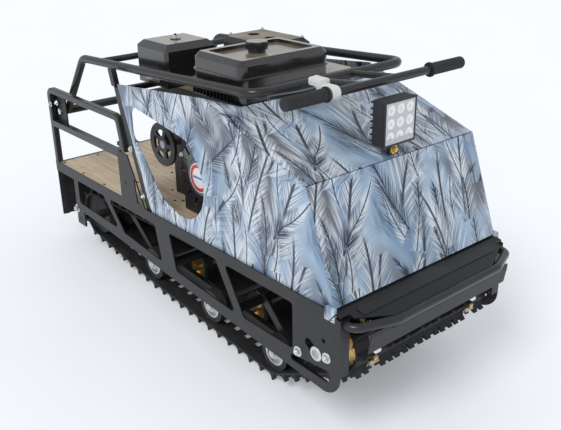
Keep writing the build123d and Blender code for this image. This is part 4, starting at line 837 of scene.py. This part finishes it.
def grip_profile():
    """(radius, along) from the inner end: a collar, lands with grooves between them, a rounded cap."""
    profile = [(0, 0.2), (BORE_R, 0.0), (COLLAR_R - 0.6, 0.0), (COLLAR_R, 0.8), (COLLAR_R, 4.2),
               (COLLAR_R - 0.6, 5.0), (GRIP_R - 0.4, 5.4)]
    along = 9.0
    while along < GRIP_LENGTH - 10.0:
        profile += [(GRIP_R, along), (GRIP_R, along + 4.6), (GROOVE_R, along + 5.2), (GROOVE_R, along + 6.4)]
        along += GROOVE_PITCH
    profile += [(GRIP_R, along + 0.4), (GRIP_R, GRIP_LENGTH - 3.0), (GRIP_R - 1.2, GRIP_LENGTH - 0.6)]
    profile += [(12.0, GRIP_LENGTH), (5.0, GRIP_LENGTH)]
    return profile + [(4.0, GRIP_LENGTH - 1.4), (0, GRIP_LENGTH - 1.4)]


def add_grips():
    """Both grooved grips, which stand for the plain ones."""
    draft = Draft()
    for side in (-1, 1):
        outwards = Matrix.Rotation(-side * math.pi / 2, 4, "X")
        draft.lathe(grip_profile(), 36, Matrix.Translation((BAR_X, side * GRIP_START, BAR_Z)) @ outwards)
    add_piece("ribbed_grips", draft, "grip_rubber", "steering", ("handlebar_grips",))


def add_perch_body():
    """The pale body over the brake lever's clamp, with its pivot screw."""
    body = Draft()
    body.block((-262.0, -172.0, 683.0), (-214.0, -142.0, 704.0), 7.0)
    body.block((-222.0, -170.0, 678.0), (BAR_X + 2.0, -148.0, 694.0), 6.0)
    screw = Matrix.Translation((-246.0, -157.0, 702.0))
    body.lathe([(0, 0), (7.0, 0), (7.0, 3.0), (5.6, 4.2), (0, 4.2)], 20, screw)
    add_piece("perch_body", body, "perch_plastic", "steering")


# Engine and hood
STARTER = Vector((-625.0, -240.0, 368.0))
STARTER_BOLTS_R, LABEL_R = 104.0, 43.0
FIRST_BOLT = 35.0                        # degrees up from ahead
VENT_SIDE, VENT_MIDDLE = -223.8, 603.0
SLAT_PITCH, SLAT_LEAN = 9.5, 0.45


def add_engine_fastenings():
    """Screws of the muffler's guard, the air filter's nut, the starter's bolts."""
    guard = [((x, y, 694.0), UP) for x in (-864, -676) for y in (60, 184)]
    repeat("guard_screws", bolt(*GUARD_SCREW), guard, "zinc")
    repeat("filter_nut", bolt(*FILTER_NUT), [((-868.0, -139.0, 709.0), UP)], "zinc")
    turns = [math.radians(FIRST_BOLT + 120 * k) for k in range(3)]
    rays = [Vector((math.cos(a), 0, math.sin(a))) for a in turns]
    flange = [(STARTER + STARTER_BOLTS_R * ray, TO_RIGHT) for ray in rays]
    repeat("starter_bolts", bolt(*STARTER_BOLT), flange, "zinc")


def add_filter_vent():
    """A framed vent on the air filter's right side, with slanting slats."""
    slat, vent = Draft(), Draft()
    slat.block((-1.6, -0.8, -8.0), (1.6, 1.2, 8.0), 0.5)
    lean = Matrix.Rotation(-RAKE + SLAT_LEAN, 3, "Y").to_euler()
    spots = [((-902.0 + SLAT_PITCH * k, VENT_SIDE, VENT_MIDDLE), lean) for k in range(8)]
    repeat("filter_slats", slat, spots, "zinc")
    low, high = VENT_MIDDLE - 11.0, VENT_MIDDLE + 11.0
    vent.block((-911.0, VENT_SIDE - 0.2, low), (-826.0, VENT_SIDE + 1.2, high), 0.5)
    add_piece("filter_vent", vent, "engine_plastic")


def add_starter_disc():
    """The label on the recoil starter's middle."""
    disc = Draft()
    place = Matrix.Translation((STARTER.x, STARTER.y - 7.8, STARTER.z)) @ Matrix.Rotation(math.pi / 2, 4, "X")
    disc.lathe([(0, 0), (LABEL_R, 0), (LABEL_R, 1.2), (LABEL_R - 1.0, 1.7), (0, 1.7)], 48, place)
    add_piece("starter_disc", disc, "lamp_glass", material=ring_label(STARTER))


def add_hood_tabs():
    """The film-covered tabs that fold over the side frames at the hood's front corners."""
    tabs = Draft()
    for side in (-1, 1):
        low, high = sorted((side * 303.2, side * 312.0))
        tabs.block((-52.0, low, 201.0), (-18.0, high, 238.0), 2.5)
    add_piece("hood_tabs", tabs, "hood_paint", material=own_finishes["hood_side_right"])


def add_step_lit_band():
    """The paler strip along the slope of the front step, a thin plate in the plain frame paint: a painted lit
    band beside the step's painted shade.
    """
    strip = Draft()
    strip.prism([(-9.0, 221.9), (18.0, 215.4), (18.0, 217.2), (-9.0, 223.7)], -252.0, 252.0)
    add_piece("step_strip", strip, "frame_paint", smooth=False)


# Floor and light
PALE_SKY = (0.93, 0.96, 1.0)
SKY_LIGHT, SKY_SHOWN = 0.66, 0.97
FLOOR_REACH = 30.0
FLOOR_GLOW = 0.2
SUN_STRENGTH, SUN_SPREAD = 1.25, math.radians(25.0)
SUN_TURN = tuple(math.radians(degrees) for degrees in (38.0, -12.0, 25.0))


def floor_finish():
    """Pale floor that keeps the tug's shadow; the camera and reflections see it a little brighter."""
    ground = Finish("floor", 0.9)
    soft = ground.noise(2.0, 4.0, 0.5)
    ground.set("Base Color", ground.mix(soft, (0.80, 0.82, 0.85), (0.86, 0.87, 0.89)))
    seen = ground.node("ShaderNodeLightPath", out="Is Camera Ray")
    seen = ground.math("MAXIMUM", seen + seen.output("Is Glossy Ray"), seen.output("Is Transmission Ray"))
    ground.set("Emission Color", ground.mix(seen, (0.0, 0.0, 0.0), (0.95, 0.97, 1.0)))
    ground.set("Emission Strength", FLOOR_GLOW)
    return ground.material


def add_floor():
    """A wide floor for the tug's shadow, which isn't part of it."""
    mesh = bpy.data.meshes.new("floor")
    corners = [(x * FLOOR_REACH, y * FLOOR_REACH, 0) for x, y in ((-1, -1), (1, -1), (1, 1), (-1, 1))]
    mesh.from_pydata(corners, [], [(0, 1, 2, 3)])
    mesh.materials.append(floor_finish())
    floor = bpy.data.objects.new("floor", mesh)
    bpy.context.scene.collection.objects.link(floor)


def add_sky():
    """Even light from all round, which the camera sees as a nearly white backdrop."""
    world = bpy.data.worlds.new("sky")
    world.use_nodes = True
    bpy.context.scene.world = world
    sky = Tree(world.node_tree)
    sky.tree.nodes.remove(sky.tree.nodes["Background"])
    lit = sky.node("ShaderNodeBackground", None, {"Color": PALE_SKY, "Strength": SKY_LIGHT})
    shown = sky.node("ShaderNodeBackground", None, {"Color": PALE_SKY, "Strength": SKY_SHOWN})
    seen = sky.node("ShaderNodeLightPath", out="Is Camera Ray")
    mixed = sky.node("ShaderNodeMixShader", None, {"Fac": seen, 1: lit, 2: shown})
    sky.feed(sky.tree.nodes["World Output"].inputs["Surface"], mixed)


def add_sun():
    """A soft key light from above, on the tug's right."""
    sun = bpy.data.lights.new("key", "SUN")
    sun.energy = SUN_STRENGTH
    sun.angle = SUN_SPREAD
    key = bpy.data.objects.new("key", sun)
    key.rotation_euler = SUN_TURN
    bpy.context.scene.collection.objects.link(key)


add_camera()
dress_nodes()
add_track()
add_side_bolts()
add_axle_ends()
add_deck_screws()
add_lamp_fastenings()
add_engine_fastenings()
add_lamp()
add_grips()
add_filter_vent()
add_starter_disc()
add_hood_tabs()
add_step_lit_band()
add_perch_body()
add_floor()
add_sky()
add_sun()
bpy.context.scene.view_settings.view_transform = "Standard"
